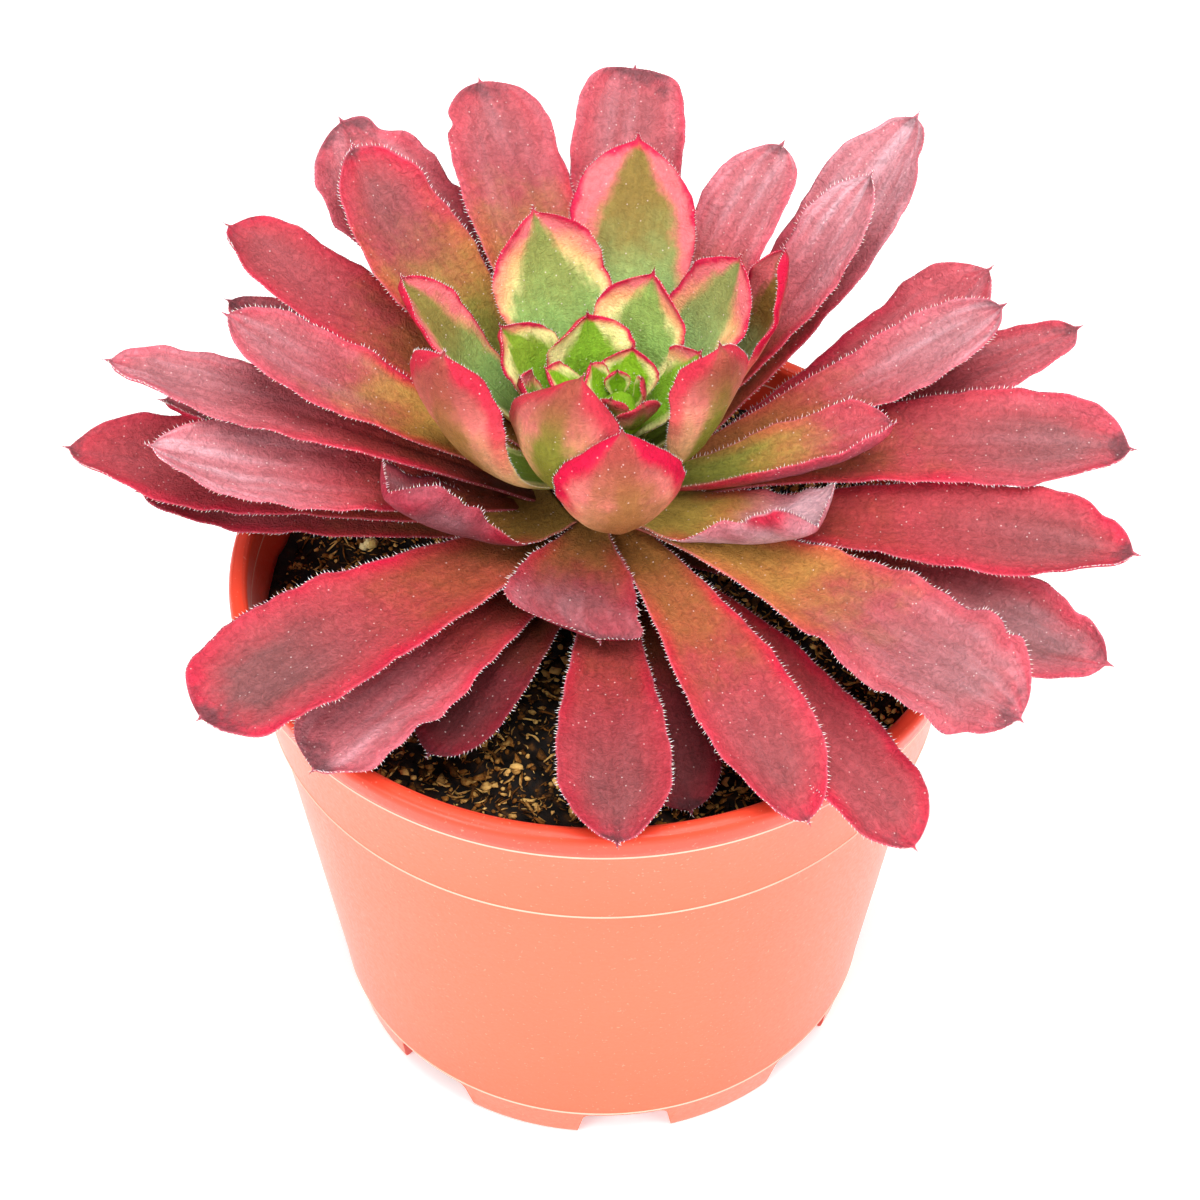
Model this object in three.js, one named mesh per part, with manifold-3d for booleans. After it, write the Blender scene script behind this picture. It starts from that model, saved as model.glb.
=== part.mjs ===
// Potted aeonium: a rosette of spoon-shaped leaves on a short stem, in a round plastic nursery pot.
// Units are millimetres and +Z is up. The origin is the middle of the flat pad under the pot.
// Azimuths are in degrees, anticlockwise from +X seen from above, so the front of the plant is at -90.
import * as THREE from "three";
import { mergeVertices } from "three/addons/utils/BufferGeometryUtils.js";
import Module from "manifold-3d";

const wasm = await Module();
wasm.setup();

// Driving dimensions
const GAP = 0.3; // clear space left between pieces that touch on the real plant
const POT_HEIGHT = 119.5;
const RIM_RADIUS = 76;
const STEP_HEIGHT = 89.5; // where the collar ends in a small step
const STEP_RADIUS = 70.2;
const STEP_DEPTH = 0.9; // the wall below the step lies this far inside it
const BASE_RADIUS = 57;
const WALL = 1.5;
const FLOOR_UNDER = 4; // the floor's underside is this high, so that water runs off
const PAD_RADIUS = 11; // the middle of the underside reaches down to the surface
const FEET = 8;
// One gap between two feet, widest at the bottom, with rounded top corners, and how deep it is cut
const FOOT_GAP = { height: 9.3, top: 17, foot: 21, slope: 0.8, round: 2.2, inside: 9, depth: 20 };
const FIRST_GAP = -85; // azimuth of the gap nearest the front
const DRAIN = { count: 6, radius: 4, ring: 30 };
const POT_SIDES = 48;
const SOIL_LEVEL = 104.5;
const SOIL_RADIUS = 68;
const SOIL_MOUND = 2; // height of the middle above the edge
const SOIL_LUMPS = 0.9;
const SOIL_RINGS = [17, 26, 35, 44, 53, 62]; // radii of the rings between the stem's hole and the wall
const SOIL_SIDES = 40;
const STEM_BURIED = 22;
const STEM_RADIUS = 9;
const STEM_SHOULDER = 142; // the stem narrows above this height
const STEM_TOP = 157;
const STEM_TIP_RADIUS = 4.5;
// The growing point leans a little off the stem: its place and height, and the radii of its cone of tissue
const CROWN = { x: 3.5, y: -1.8, height: 164.5, foot: 4.4, belly: 5, neck: 3.2, shoulder: 2.5 };

const rad = THREE.MathUtils.degToRad;
const { sin, cos, abs, max, min, PI } = Math;

// Rises from 0 to 1 with a level start and a level end
function ease(x) {
  const c = min(1, max(0, x));
  return c * c * (3 - 2 * c);
}

// Materials
function finish(color, roughness) {
  return new THREE.MeshStandardMaterial({ color, roughness, metalness: 0 });
}
const finishes = {
  pot: finish(0xf58a6c, 0.45),
  soil: finish(0x2a1c14, 0.95),
  stem: finish(0x7a5a3a, 0.8),
  outer: finish(0xc24a5c, 0.5),
  middle: finish(0xcf5a62, 0.5),
  inner: finish(0xb9c070, 0.5),
};

const plant = new THREE.Group();

function addMesh(name, geometry, material) {
  const mesh = new THREE.Mesh(geometry, material);
  mesh.name = name;
  plant.add(mesh);
}

// Solids and geometries
function geometryOf(vertices, triangles) {
  const made = new THREE.BufferGeometry();
  made.setAttribute("position", new THREE.Float32BufferAttribute(vertices, 3));
  made.setIndex(triangles);
  return made;
}

function solidOf(geometry) {
  const bare = new THREE.BufferGeometry();
  bare.setAttribute("position", geometry.getAttribute("position"));
  if (geometry.index) bare.setIndex(geometry.index);
  const merged = mergeVertices(bare, 1e-4);
  return new wasm.Manifold(
    new wasm.Mesh({
      numProp: 3,
      vertProperties: new Float32Array(merged.getAttribute("position").array),
      triVerts: new Uint32Array(merged.index.array),
    }),
  );
}

function geometryOfSolid(solid) {
  const mesh = solid.getMesh();
  return geometryOf(Array.from(mesh.vertProperties), Array.from(mesh.triVerts));
}

function biggestBody(solid) {
  return solid.decompose().reduce((best, body) => (body.volume() > best.volume() ? body : best));
}

// A closed outline of [radius, height] points turned round the pot's axis
function turned(outline, sides) {
  const points = outline.map(([r, z]) => new THREE.Vector2(r, z));
  return new THREE.LatheGeometry(points, sides).rotateX(PI / 2);
}

// The pot's inner face from the lip down to the middle of the floor, as [radius, height] points
const POT_INSIDE = [
  [RIM_RADIUS - 4.3, POT_HEIGHT - 5],
  [STEP_RADIUS - WALL, STEP_HEIGHT + 1.5],
  [STEP_RADIUS - STEP_DEPTH - WALL, STEP_HEIGHT - 1],
  [BASE_RADIUS + 0.2 - WALL, FLOOR_UNDER + WALL + 2],
  [BASE_RADIUS - 2 - WALL, FLOOR_UNDER + WALL],
  [0, FLOOR_UNDER + WALL],
];

// Pot: a tapering wall, a flared collar above a small step, and a rolled lip
function potOutline() {
  const wallTop = [STEP_RADIUS - STEP_DEPTH, STEP_HEIGHT];
  const outside = [
    [0, 0],
    [PAD_RADIUS, 0],
    [PAD_RADIUS + 1, FLOOR_UNDER],
    [BASE_RADIUS - 8, FLOOR_UNDER],
    [BASE_RADIUS - 5, 0],
    [BASE_RADIUS - 2, 0],
    [BASE_RADIUS - 0.6, 0.7],
    [BASE_RADIUS + 0.2, 2.5],
    [BASE_RADIUS + 1.5, 10],
    wallTop,
    [STEP_RADIUS, STEP_HEIGHT + 0.5],
    [RIM_RADIUS - 1.4, POT_HEIGHT - 6.2],
    [RIM_RADIUS - 0.5, POT_HEIGHT - 5],
    [RIM_RADIUS, POT_HEIGHT - 2],
    [RIM_RADIUS - 1, POT_HEIGHT - 0.4],
    [RIM_RADIUS - 2.2, POT_HEIGHT],
    [RIM_RADIUS - 3.8, POT_HEIGHT - 1.2],
  ];
  return [...outside, ...POT_INSIDE];
}

// The gap between two feet, cut from the corner of wall and floor: sloped sides and rounded top corners
function footGap(azimuth) {
  const { height, top, foot, slope, round, inside, depth } = FOOT_GAP;
  const corner = height - round;
  const outline = new THREE.Shape();
  outline.moveTo(-foot / 2, -1);
  outline.lineTo(foot / 2, -1);
  outline.lineTo(top / 2 + slope, corner);
  outline.quadraticCurveTo(top / 2, height, top / 2 - round, height);
  outline.lineTo(round - top / 2, height);
  outline.quadraticCurveTo(-top / 2, height, -top / 2 - slope, corner);
  outline.closePath();
  const made = new THREE.ExtrudeGeometry(outline, { depth, bevelEnabled: false, curveSegments: 3 });
  // The outline stands upright and is pushed outwards along the azimuth
  made.rotateX(PI / 2).rotateZ(PI).translate(0, BASE_RADIUS - inside, 0).rotateZ(rad(azimuth - 90));
  return made;
}

function drainHole(azimuth) {
  const { radius, ring } = DRAIN;
  const made = new THREE.CylinderGeometry(radius, radius, 3 * WALL, 12).rotateX(PI / 2);
  const x = ring * cos(rad(azimuth));
  const y = ring * sin(rad(azimuth));
  return made.translate(x, y, FLOOR_UNDER + WALL / 2);
}

function buildPot() {
  let pot = solidOf(turned(potOutline(), POT_SIDES));
  for (let i = 0; i < FEET; i++) pot = pot.subtract(solidOf(footGap(FIRST_GAP + (i * 360) / FEET)));
  for (let i = 0; i < DRAIN.count; i++) pot = pot.subtract(solidOf(drainHole((i * 360) / DRAIN.count)));
  addMesh("pot", geometryOfSolid(pot), finishes.pot);
}

// Soil: fills the pot, with a lumpy top and a plain hole for the stem
function soilHeight(x, y) {
  const broad = sin(0.31 * x + 1.3) * cos(0.27 * y - 0.4);
  const slanting = 0.7 * sin(0.53 * x - 0.35 * y);
  const small = 0.5 * cos(0.61 * y + 0.2 * x);
  const mound = SOIL_MOUND * (1 - (x * x + y * y) / SOIL_RADIUS ** 2);
  return SOIL_LEVEL + SOIL_LUMPS * (broad + slanting + small) + mound;
}

function buildSoil() {
  const sides = SOIL_SIDES;
  const clear = GAP + 0.2; // a little more than the gap, because the pot's wall has flat facets
  const hole = STEM_RADIUS + GAP;
  const holeFloor = SOIL_LEVEL - STEM_BURIED - GAP;
  const topRings = [hole, ...SOIL_RINGS, STEP_RADIUS - 2 * GAP];
  const sideRings = POT_INSIDE.slice(1, -1).map(([r, z]) => [r - clear, z + clear / 2]);
  const bottom = sideRings.at(-1)[1];
  const rings = [
    () => [hole, holeFloor],
    ...topRings.map((r) => (a) => [r, soilHeight(r * cos(a), r * sin(a))]),
    ...sideRings.map((point) => () => point),
  ];
  const vertices = [0, 0, holeFloor];
  for (const ring of rings) {
    for (let i = 0; i < sides; i++) {
      const a = (i / sides) * 2 * PI;
      const [r, z] = ring(a);
      vertices.push(r * cos(a), r * sin(a), z);
    }
  }
  vertices.push(0, 0, bottom);
  const last = vertices.length / 3 - 1;
  const triangles = [];
  for (let i = 0; i < sides; i++) {
    const j = (i + 1) % sides;
    triangles.push(0, 1 + i, 1 + j);
    triangles.push(last, last - sides + j, last - sides + i);
    for (let k = 0; k < rings.length - 1; k++) {
      const low = 1 + k * sides;
      const high = low + sides;
      triangles.push(low + i, high + i, high + j, low + i, high + j, low + j);
    }
  }
  addMesh("soil", geometryOf(vertices, triangles), finishes.soil);
}

// Stem: short and woody, with a slight waist and a narrow tip that the young leaves stand on
function stemRadius(z) {
  const narrow = ease((z - STEM_SHOULDER) / (STEM_TOP - STEM_SHOULDER));
  return STEM_RADIUS + (STEM_TIP_RADIUS - STEM_RADIUS) * narrow;
}

function buildStem() {
  const low = SOIL_LEVEL - STEM_BURIED;
  const heights = [low, 112, STEM_SHOULDER, 147, 152, STEM_TOP];
  const outline = heights.map((z) => [stemRadius(z), z]);
  addMesh("stem", turned([[0, low], ...outline, [0, STEM_TOP]], 20), finishes.stem);
}

// Leaves. Each has a root azimuth and height on the stem, a length, a half width, and a pitch at the root
// and at the tip. The rest have plain values unless they are given: sweep turns the heading along the leaf,
// roll turns the blade about its length, and cups curl the left and the right half upwards. Late moves the
// start of that curl farther out.
const PLAIN = {
  sweep: 0,
  roll: 0,
  cup: [18, 18],
  late: 0,
  neck: 0.36, // width at the root as a share of the widest
  widest: 0.72, // how far along the blade is widest
  blunt: 2.5, // high is a round end, low a pointed one
  skew: 0, // how far the tip lies to the left
  thick: 2.2,
  centre: [0, 0],
};

const SKIRT = [
  { az: 182, z: 127, length: 84, half: 8.6, pitch: [10, 1], sweep: -8, roll: -10 },
  { az: -143, z: 122.5, length: 50, half: 8, pitch: [2, -14] },
  { az: -20, z: 127, length: 96, half: 12.2, pitch: [8, -7], sweep: -4, roll: 10, blunt: 2.3 },
  { az: -51.5, z: 129, length: 86.5, half: 10, pitch: [4, -24], widest: 0.78, blunt: 3.4 },
  { az: -88, z: 124.5, length: 71, half: 10.8, pitch: [5, -8], neck: 0.34, widest: 0.8, blunt: 1.9 },
  { az: -74, z: 121, length: 55, half: 8.5, pitch: [5, -32], widest: 0.75 },
  { az: -120, z: 125, length: 54, half: 9.3, pitch: [2, -18], sweep: -5, widest: 0.75 },
  { az: -129, z: 127, length: 73.5, half: 11.2, pitch: [3, -8], sweep: -7, skew: 2, widest: 0.8, blunt: 4.5 },
  { az: 172, z: 132, length: 82, half: 8, pitch: [18, 5], sweep: -4 },
  { az: 94, z: 133, length: 74, half: 8, pitch: [26, 12] },
  { az: 153, z: 133, length: 80, half: 8, pitch: [23, 9] },
  { az: 137, z: 132.5, length: 60, half: 8.5, pitch: [16, 8] },
  { az: -3, z: 122, length: 70, half: 8.5, pitch: [8, 2] },
  { az: 73, z: 125, length: 76, half: 10, pitch: [12, 0], sweep: 3 },
  { az: 30, z: 126.5, length: 84, half: 9, pitch: [12, 0] },
  { az: 103, z: 122.5, length: 78, half: 10, pitch: [10, -4] },
  { az: 128, z: 126, length: 76, half: 10, pitch: [14, 2] },
];

// The long leaves at the right are narrow at the root
const NARROW = { neck: 0.26, widest: 0.76 };
const OUTER = [
  { az: 181, z: 130.5, length: 99, half: 11.5, pitch: [12, 3], sweep: -10, roll: -12, blunt: 2.1 },
  { ...NARROW, az: -8.5, z: 131, length: 97, half: 11.2, pitch: [12, -2], sweep: -6, roll: 14, blunt: 2 },
  { ...NARROW, az: 8.5, z: 135, length: 97.5, half: 11.8, pitch: [16, -4], sweep: -14, roll: 16, blunt: 2.1 },
  { az: -140.5, z: 133, length: 86.5, half: 14.8, pitch: [10, -8], sweep: -2, widest: 0.76, blunt: 3.8 },
  { az: -62, z: 135, length: 74.5, half: 10.6, pitch: [2.5, -26], blunt: 2.8 },
  {
    ...NARROW,
    az: -36,
    z: 136,
    length: 89,
    half: 13.4,
    pitch: [11, -14],
    sweep: -3,
    roll: 8,
    widest: 0.8,
    blunt: 3.4,
  },
  { az: 20, z: 131.5, length: 97.5, half: 8.8, pitch: [10, 11], sweep: 2 },
  { az: 25, z: 137, length: 85, half: 10.8, pitch: [0, 34], sweep: 6, neck: 0.28, widest: 0.8 },
  { az: 38, z: 134.5, length: 95, half: 10.8, pitch: [31, 31], sweep: 15 },
  { az: 85, z: 139, length: 83.5, half: 11.4, pitch: [45, 22], blunt: 5.5 },
  { az: 130, z: 137, length: 89, half: 14, pitch: [38, 18], skew: -3 },
];

const MIDDLE = [
  { az: 186, z: 136.5, length: 81, half: 10.2, pitch: [8, 20], sweep: -3, roll: -14, blunt: 2.1 },
  { az: 181, z: 136, length: 93, half: 7.9, pitch: [28, 6], sweep: -15, roll: -8 },
  {
    az: 16.5,
    z: 140,
    length: 79,
    half: 7.8,
    pitch: [9, 26],
    sweep: 4,
    cup: [35, 30],
    roll: 15,
    neck: 0.3,
    widest: 0.76,
    blunt: 2.2,
  },
  { az: 109.5, z: 141, length: 80.5, half: 11.3, pitch: [46, 24], blunt: 4 },
  {
    az: -150,
    z: 138.5,
    length: 41,
    half: 13.5,
    pitch: [-12, 58],
    sweep: -30,
    roll: 16,
    cup: [95, 25],
    late: 0.5,
    neck: 0.5,
    widest: 0.8,
    blunt: 8,
  },
  {
    az: -102,
    z: 137.5,
    length: 26,
    half: 13.4,
    pitch: [-4, -25],
    roll: -12,
    neck: 0.26,
    widest: 0.8,
    blunt: 4.5,
    skew: 7,
  },
  {
    az: -26,
    z: 138,
    length: 38,
    half: 13.5,
    pitch: [-2, 28],
    roll: -8,
    cup: [15, 88],
    late: 0.5,
    neck: 0.5,
    widest: 0.84,
    blunt: 10,
  },
  { az: -1, z: 141, length: 50, half: 9, pitch: [4, 28], sweep: 4, cup: [30, 80], roll: 10 },
  { az: 176, z: 142, length: 72, half: 9.2, pitch: [22, 31], sweep: -10, roll: -8 },
  { az: 154, z: 143, length: 82, half: 9, pitch: [26, 17], sweep: -5, roll: -8, blunt: 3.2 },
  {
    az: 141,
    z: 142,
    length: 76,
    half: 11.4,
    pitch: [40, 28],
    sweep: -12,
    widest: 0.68,
    blunt: 2.2,
    skew: -2,
  },
  { az: 34, z: 143.5, length: 72, half: 8, pitch: [24, 48], sweep: 8 },
  { az: 55, z: 144, length: 68, half: 8.8, pitch: [46, 28], blunt: 3.4 },
];

// Young leaves are broad above their middle and end in a point
const BROAD = { widest: 0.66, blunt: 2.2 };
const CURLED = { ...BROAD, cup: [45, 45] };
const INNER = [
  { az: 28, z: 146, length: 52, half: 6.5, pitch: [15, 85], cup: [60, 60] },
  { ...BROAD, az: 80, z: 147, length: 60, half: 12.8, pitch: [52, 30], skew: 2 },
  { ...BROAD, az: -160, z: 145, length: 48, half: 12, pitch: [14, 104], roll: 35, cup: [40, 40], blunt: 3 },
  { ...CURLED, az: -80, z: 141.5, length: 38, half: 13.6, pitch: [12, 125], neck: 0.3, widest: 0.62 },
  { ...BROAD, az: -18, z: 146, length: 40, half: 10, pitch: [35, 100], roll: -45, cup: [40, 40] },
  { ...BROAD, az: 113, z: 149, length: 44, half: 11.8, pitch: [45, 58], blunt: 2.6 },
  { ...BROAD, az: 38, z: 150, length: 41, half: 9.8, pitch: [35, 60], blunt: 2.8 },
  { az: 154, z: 147, length: 46.5, half: 7.6, pitch: [25, 55], cup: [50, 18] },
  { ...CURLED, az: -117, z: 147.5, length: 38, half: 12.4, pitch: [20, 140], neck: 0.28, skew: 3 },
  { ...BROAD, az: 63, z: 152, length: 30, half: 10, pitch: [50, 65], widest: 0.62 },
  { ...BROAD, az: 105, z: 154, length: 21, half: 9, pitch: [70, 80], widest: 0.6 },
  { ...BROAD, az: 150, z: 152, length: 26, half: 8.5, pitch: [45, 65], widest: 0.62, skew: 3 },
  { ...BROAD, az: -172, z: 151, length: 20, half: 7, pitch: [55, 70], widest: 0.62 },
  { ...BROAD, az: 12, z: 153, length: 22, half: 8, pitch: [40, 62], widest: 0.62 },
];

// The smallest leaves round the growing point, fused in one bud
const BUD = [
  { az: 178, z: 159, length: 17, half: 6, pitch: [30, 55] },
  { az: 76, z: 158.5, length: 12.5, half: 6, pitch: [35, 65] },
  { az: -62, z: 159, length: 12, half: 5, pitch: [35, 75] },
  { az: 145, z: 160, length: 10, half: 4, pitch: [45, 75] },
  { az: -110, z: 160.5, length: 7.5, half: 3.4, pitch: [45, 85] },
  { az: 10, z: 161, length: 7, half: 3, pitch: [55, 90] },
  { az: 100, z: 161.5, length: 6, half: 2.6, pitch: [60, 95] },
];

const NECK_POWER = 1.6; // higher keeps the root narrow for longer
const END_POWER = 0.66; // lower makes the end rounder

// The width at a share s of the length: a narrow neck, the widest part past the middle, and a round end
function leafHalfWidth(leaf, s) {
  const rise = sin((PI / 2) * min(1, s / leaf.widest)) ** NECK_POWER;
  const end = max(0, (s - leaf.widest) / (1 - leaf.widest));
  const round = (1 - min(1, end) ** leaf.blunt) ** END_POWER;
  return leaf.half * (leaf.neck + (1 - leaf.neck) * rise) * round;
}

// The middle line of a leaf as frames: a point, its direction, the leftward side and the upper side
function leafFrames(leaf, shares) {
  const steps = 60;
  const start = rad(leaf.az);
  const [x, y] = leaf.centre;
  const at = new THREE.Vector3(x + leaf.root * cos(start), y + leaf.root * sin(start), leaf.z);
  const direction = (s) => {
    const pitch = rad(leaf.pitch[0] + (leaf.pitch[1] - leaf.pitch[0]) * s);
    const heading = rad(leaf.az + leaf.sweep * s);
    return new THREE.Vector3(cos(pitch) * cos(heading), cos(pitch) * sin(heading), sin(pitch));
  };
  const line = [at.clone()];
  for (let i = 0; i < steps; i++) {
    at.addScaledVector(direction((i + 0.5) / steps), leaf.length / steps);
    line.push(at.clone());
  }
  return shares.map((s) => {
    const i = min(steps - 1, Math.floor(s * steps));
    const point = line[i].clone().lerp(line[i + 1], s * steps - i);
    const along = direction(s);
    const heading = rad(leaf.az + leaf.sweep * s);
    const level = new THREE.Vector3(-sin(heading), cos(heading), 0);
    const turn = rad(leaf.roll) * ease(s);
    const left = level.clone().applyAxisAngle(along, turn);
    const up = along.clone().cross(left);
    return { s, point, left, up };
  });
}

// The curl starts as a share of its full angle at the root, and grows to all of it over part of the length
const ROOT_CUP = 0.35;
const CUP_GROWS_OVER = 0.5;
const LATE_START = 0.4;

function cupShare(leaf, s) {
  const atRoot = ROOT_CUP * (1 - leaf.late);
  return atRoot + (1 - atRoot) * ease((s - LATE_START * leaf.late) / CUP_GROWS_OVER);
}

// A point of the blade at t from -1 (right edge) to 1 (left edge), sunk below the upper face by depth
function bladePoint(leaf, frame, t, grow, depth) {
  const { s, point, left, up } = frame;
  const half = leafHalfWidth(leaf, s) + grow;
  const curl = max(0.01, rad(leaf.cup[t > 0 ? 0 : 1]) * cupShare(leaf, s));
  const side = (half * sin(curl * abs(t)) * Math.sign(t)) / curl;
  const lift = (half * (1 - cos(curl * abs(t)))) / curl;
  const past = max(0, (s - leaf.widest) / (1 - leaf.widest));
  const across = side + leaf.skew * past * past;
  const inward = -sin(curl * abs(t)) * Math.sign(t) * depth;
  const down = cos(curl * abs(t)) * depth;
  return point
    .clone()
    .addScaledVector(left, across - inward)
    .addScaledVector(up, lift - down);
}

const RING_SHARES = [0, 0.2, 0.4, 0.57, 0.72, 0.85, 0.94, 0.985];
const YOUNG_RINGS = [0, 0.4, 0.7, 0.94];
const ACROSS = [-1, -0.5, 0, 0.5, 1];
const EDGE_THICK = 0.7;

// The fleshy middle is thickest before half the length, and thins out towards the tip
function middleThickness(leaf, s) {
  return leaf.thick * (0.8 + 0.4 * sin(PI * min(1, s + 0.15))) * (1 - 0.4 * s);
}

// A closed blade: rings of points over the upper face and back under the lower face, and a short tip
function leafSolid(row, grow = 0, shares = RING_SHARES) {
  const leaf = { ...PLAIN, root: stemRadius(row.z) + GAP + 0.1, ...row };
  const frames = leafFrames(leaf, [...shares, 1]);
  const vertices = [];
  const put = (p) => vertices.push(p.x, p.y, p.z);
  for (const frame of frames.slice(0, -1)) {
    const middle = middleThickness(leaf, frame.s);
    for (const t of ACROSS) put(bladePoint(leaf, frame, t, grow, -grow));
    for (const t of [...ACROSS].reverse()) {
      const thickness = EDGE_THICK + (middle - EDGE_THICK) * (1 - t * t);
      put(bladePoint(leaf, frame, t, grow, thickness + grow));
    }
  }
  const tip = frames.at(-1);
  put(bladePoint(leaf, tip, 0, 0, EDGE_THICK / 2));
  const around = 2 * ACROSS.length;
  const rings = shares.length;
  const triangles = [];
  for (let k = 0; k < rings - 1; k++) {
    for (let i = 0; i < around; i++) {
      const j = (i + 1) % around;
      const a = k * around + i;
      const b = k * around + j;
      const c = a + around;
      const d = b + around;
      // Both faces are split along the same diagonals, so that a curled blade never crosses itself
      if (i < ACROSS.length) triangles.push(a, c, b, b, c, d);
      else triangles.push(a, d, b, a, c, d);
    }
  }
  const last = (rings - 1) * around;
  for (let i = 0; i < around; i++) triangles.push(last + i, rings * around, last + ((i + 1) % around));
  for (let i = 1; i < ACROSS.length; i++) {
    const a = i - 1;
    const b = i;
    const c = around - i;
    const d = around - 1 - i;
    triangles.push(a, b, d, a, d, c);
  }
  return solidOf(geometryOf(vertices, triangles));
}

function leafNames() {
  const rows = [];
  const ring = (list, word, material) => {
    for (const [i, leaf] of list.entries()) {
      rows.push({ name: `${word}_${String(i + 1).padStart(2, "0")}`, leaf, material });
    }
  };
  ring(SKIRT, "skirt_leaf", finishes.outer);
  ring(OUTER, "outer_leaf", finishes.outer);
  ring(MIDDLE, "middle_leaf", finishes.middle);
  ring(INNER, "inner_leaf", finishes.inner);
  return rows;
}

// The bud: a small cone of tissue on the stem's tip, with the youngest leaves grown into it
function budSolid(grow = 0) {
  const { x, y, height, foot, belly, neck, shoulder } = CROWN;
  const low = STEM_TOP + GAP - grow;
  const outline = [
    [0, low],
    [foot + grow, low],
    [belly + grow, low + shoulder],
    [neck + grow, height - shoulder],
    [0, height + grow],
  ];
  const young = { centre: [x, y], root: 2, thick: 1.6, widest: 0.62, blunt: 2 };
  const cone = solidOf(turned(outline, 16).translate(x, y, 0));
  return BUD.reduce((bud, leaf) => bud.add(leafSolid({ ...young, ...leaf }, grow, YOUNG_RINGS)), cone);
}

// A younger leaf lies over an older one, so where two would cross the older one is cut clear of the younger
function buildLeaves() {
  const rows = leafNames().map((row) => {
    return { ...row, solid: leafSolid(row.leaf), clear: leafSolid(row.leaf, GAP) };
  });
  rows.push({ name: "bud", solid: budSolid(), clear: budSolid(GAP), material: finishes.inner });
  rows.forEach((row, i) => {
    let { solid } = row;
    for (const other of rows.slice(i + 1)) {
      if (solid.intersect(other.clear).volume() > 0) solid = biggestBody(solid.subtract(other.clear));
    }
    addMesh(row.name, geometryOfSolid(solid), row.material);
  });
}

buildPot();
buildSoil();
buildStem();
buildLeaves();

export default plant;
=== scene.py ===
"""Potted aeonium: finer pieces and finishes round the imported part, in the part's own frame.

The plant is a rosette of spoon-shaped leaves on a short woody stem, in a moulded plastic nursery pot.
Shapes are given in millimetres, as they are measured on a plant, and become metres when a mesh is made.
Azimuths are in degrees, anticlockwise from +X seen from above, so the front of the plant is at -90.
"""
import logging
import math
from dataclasses import dataclass, field
from enum import Enum

import bmesh
import bpy
import numpy as np
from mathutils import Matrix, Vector


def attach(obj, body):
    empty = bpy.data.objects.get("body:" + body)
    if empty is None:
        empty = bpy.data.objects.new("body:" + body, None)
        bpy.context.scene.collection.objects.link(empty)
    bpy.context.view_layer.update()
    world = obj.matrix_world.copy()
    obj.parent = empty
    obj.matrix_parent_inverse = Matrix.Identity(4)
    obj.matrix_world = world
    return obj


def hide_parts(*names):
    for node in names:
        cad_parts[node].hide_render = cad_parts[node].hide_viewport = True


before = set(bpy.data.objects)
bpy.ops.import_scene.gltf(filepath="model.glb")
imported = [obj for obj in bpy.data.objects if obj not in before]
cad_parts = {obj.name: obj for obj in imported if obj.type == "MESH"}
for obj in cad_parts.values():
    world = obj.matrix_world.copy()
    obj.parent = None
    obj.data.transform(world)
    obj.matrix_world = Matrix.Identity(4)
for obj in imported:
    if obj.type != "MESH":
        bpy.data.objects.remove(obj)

log = logging.getLogger("potted_aeonium")

MM = 0.001
BODY = "root"
BLADE_MAP = "blade"  # UV map of a leaf: right to left edge, and root to tip
RED_MARKS = ("olive", "grey", "bloom", "shade")
YOUNG_MARKS = ("fresh", "brown", "cream", "blush")

# Node inputs go by number. In a Map Range 0 is the value, 1 and 2 are its start and end, and 3 and 4 are
# what these become, 0 and 1 where unsaid. In a colour Mix 0 is the factor, 6 and 7 are the colours, and
# the result is output 2. In a Math node 0 to 2 are the terms in their order.
COLOURS = {"data_type": "RGBA"}
TINT = {"data_type": "RGBA", "blend_type": "MULTIPLY"}
SOFT = {"interpolation_type": "SMOOTHSTEP"}
TIMES = {"operation": "MULTIPLY"}
TIMES_PLUS = {"operation": "MULTIPLY_ADD"}


class Slot(Enum):
    """The record's material slots."""

    POT = "pot_plastic"
    SOIL = "potting_soil"
    STEM = "woody_stem"
    RED = "red_leaf"
    VARIEGATED = "variegated_leaf"


# Colours and nodes


def linear(colour: str, alpha: float = 1.0) -> tuple[float, float, float, float]:
    """Turns an sRGB hex colour to linear light: divided by 12.92 when dark, else a power of 2.4.

    Args:
        colour: six hex digits after a hash mark.
        alpha: opacity.

    Returns:
        Red, green, blue and alpha.
    """
    parts = [int(colour[i : i + 2], 16) / 255 for i in (1, 3, 5)]
    red, green, blue = (p / 12.92 if p <= 0.04045 else ((p + 0.055) / 1.055) ** 2.4 for p in parts)
    return red, green, blue, alpha


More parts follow.
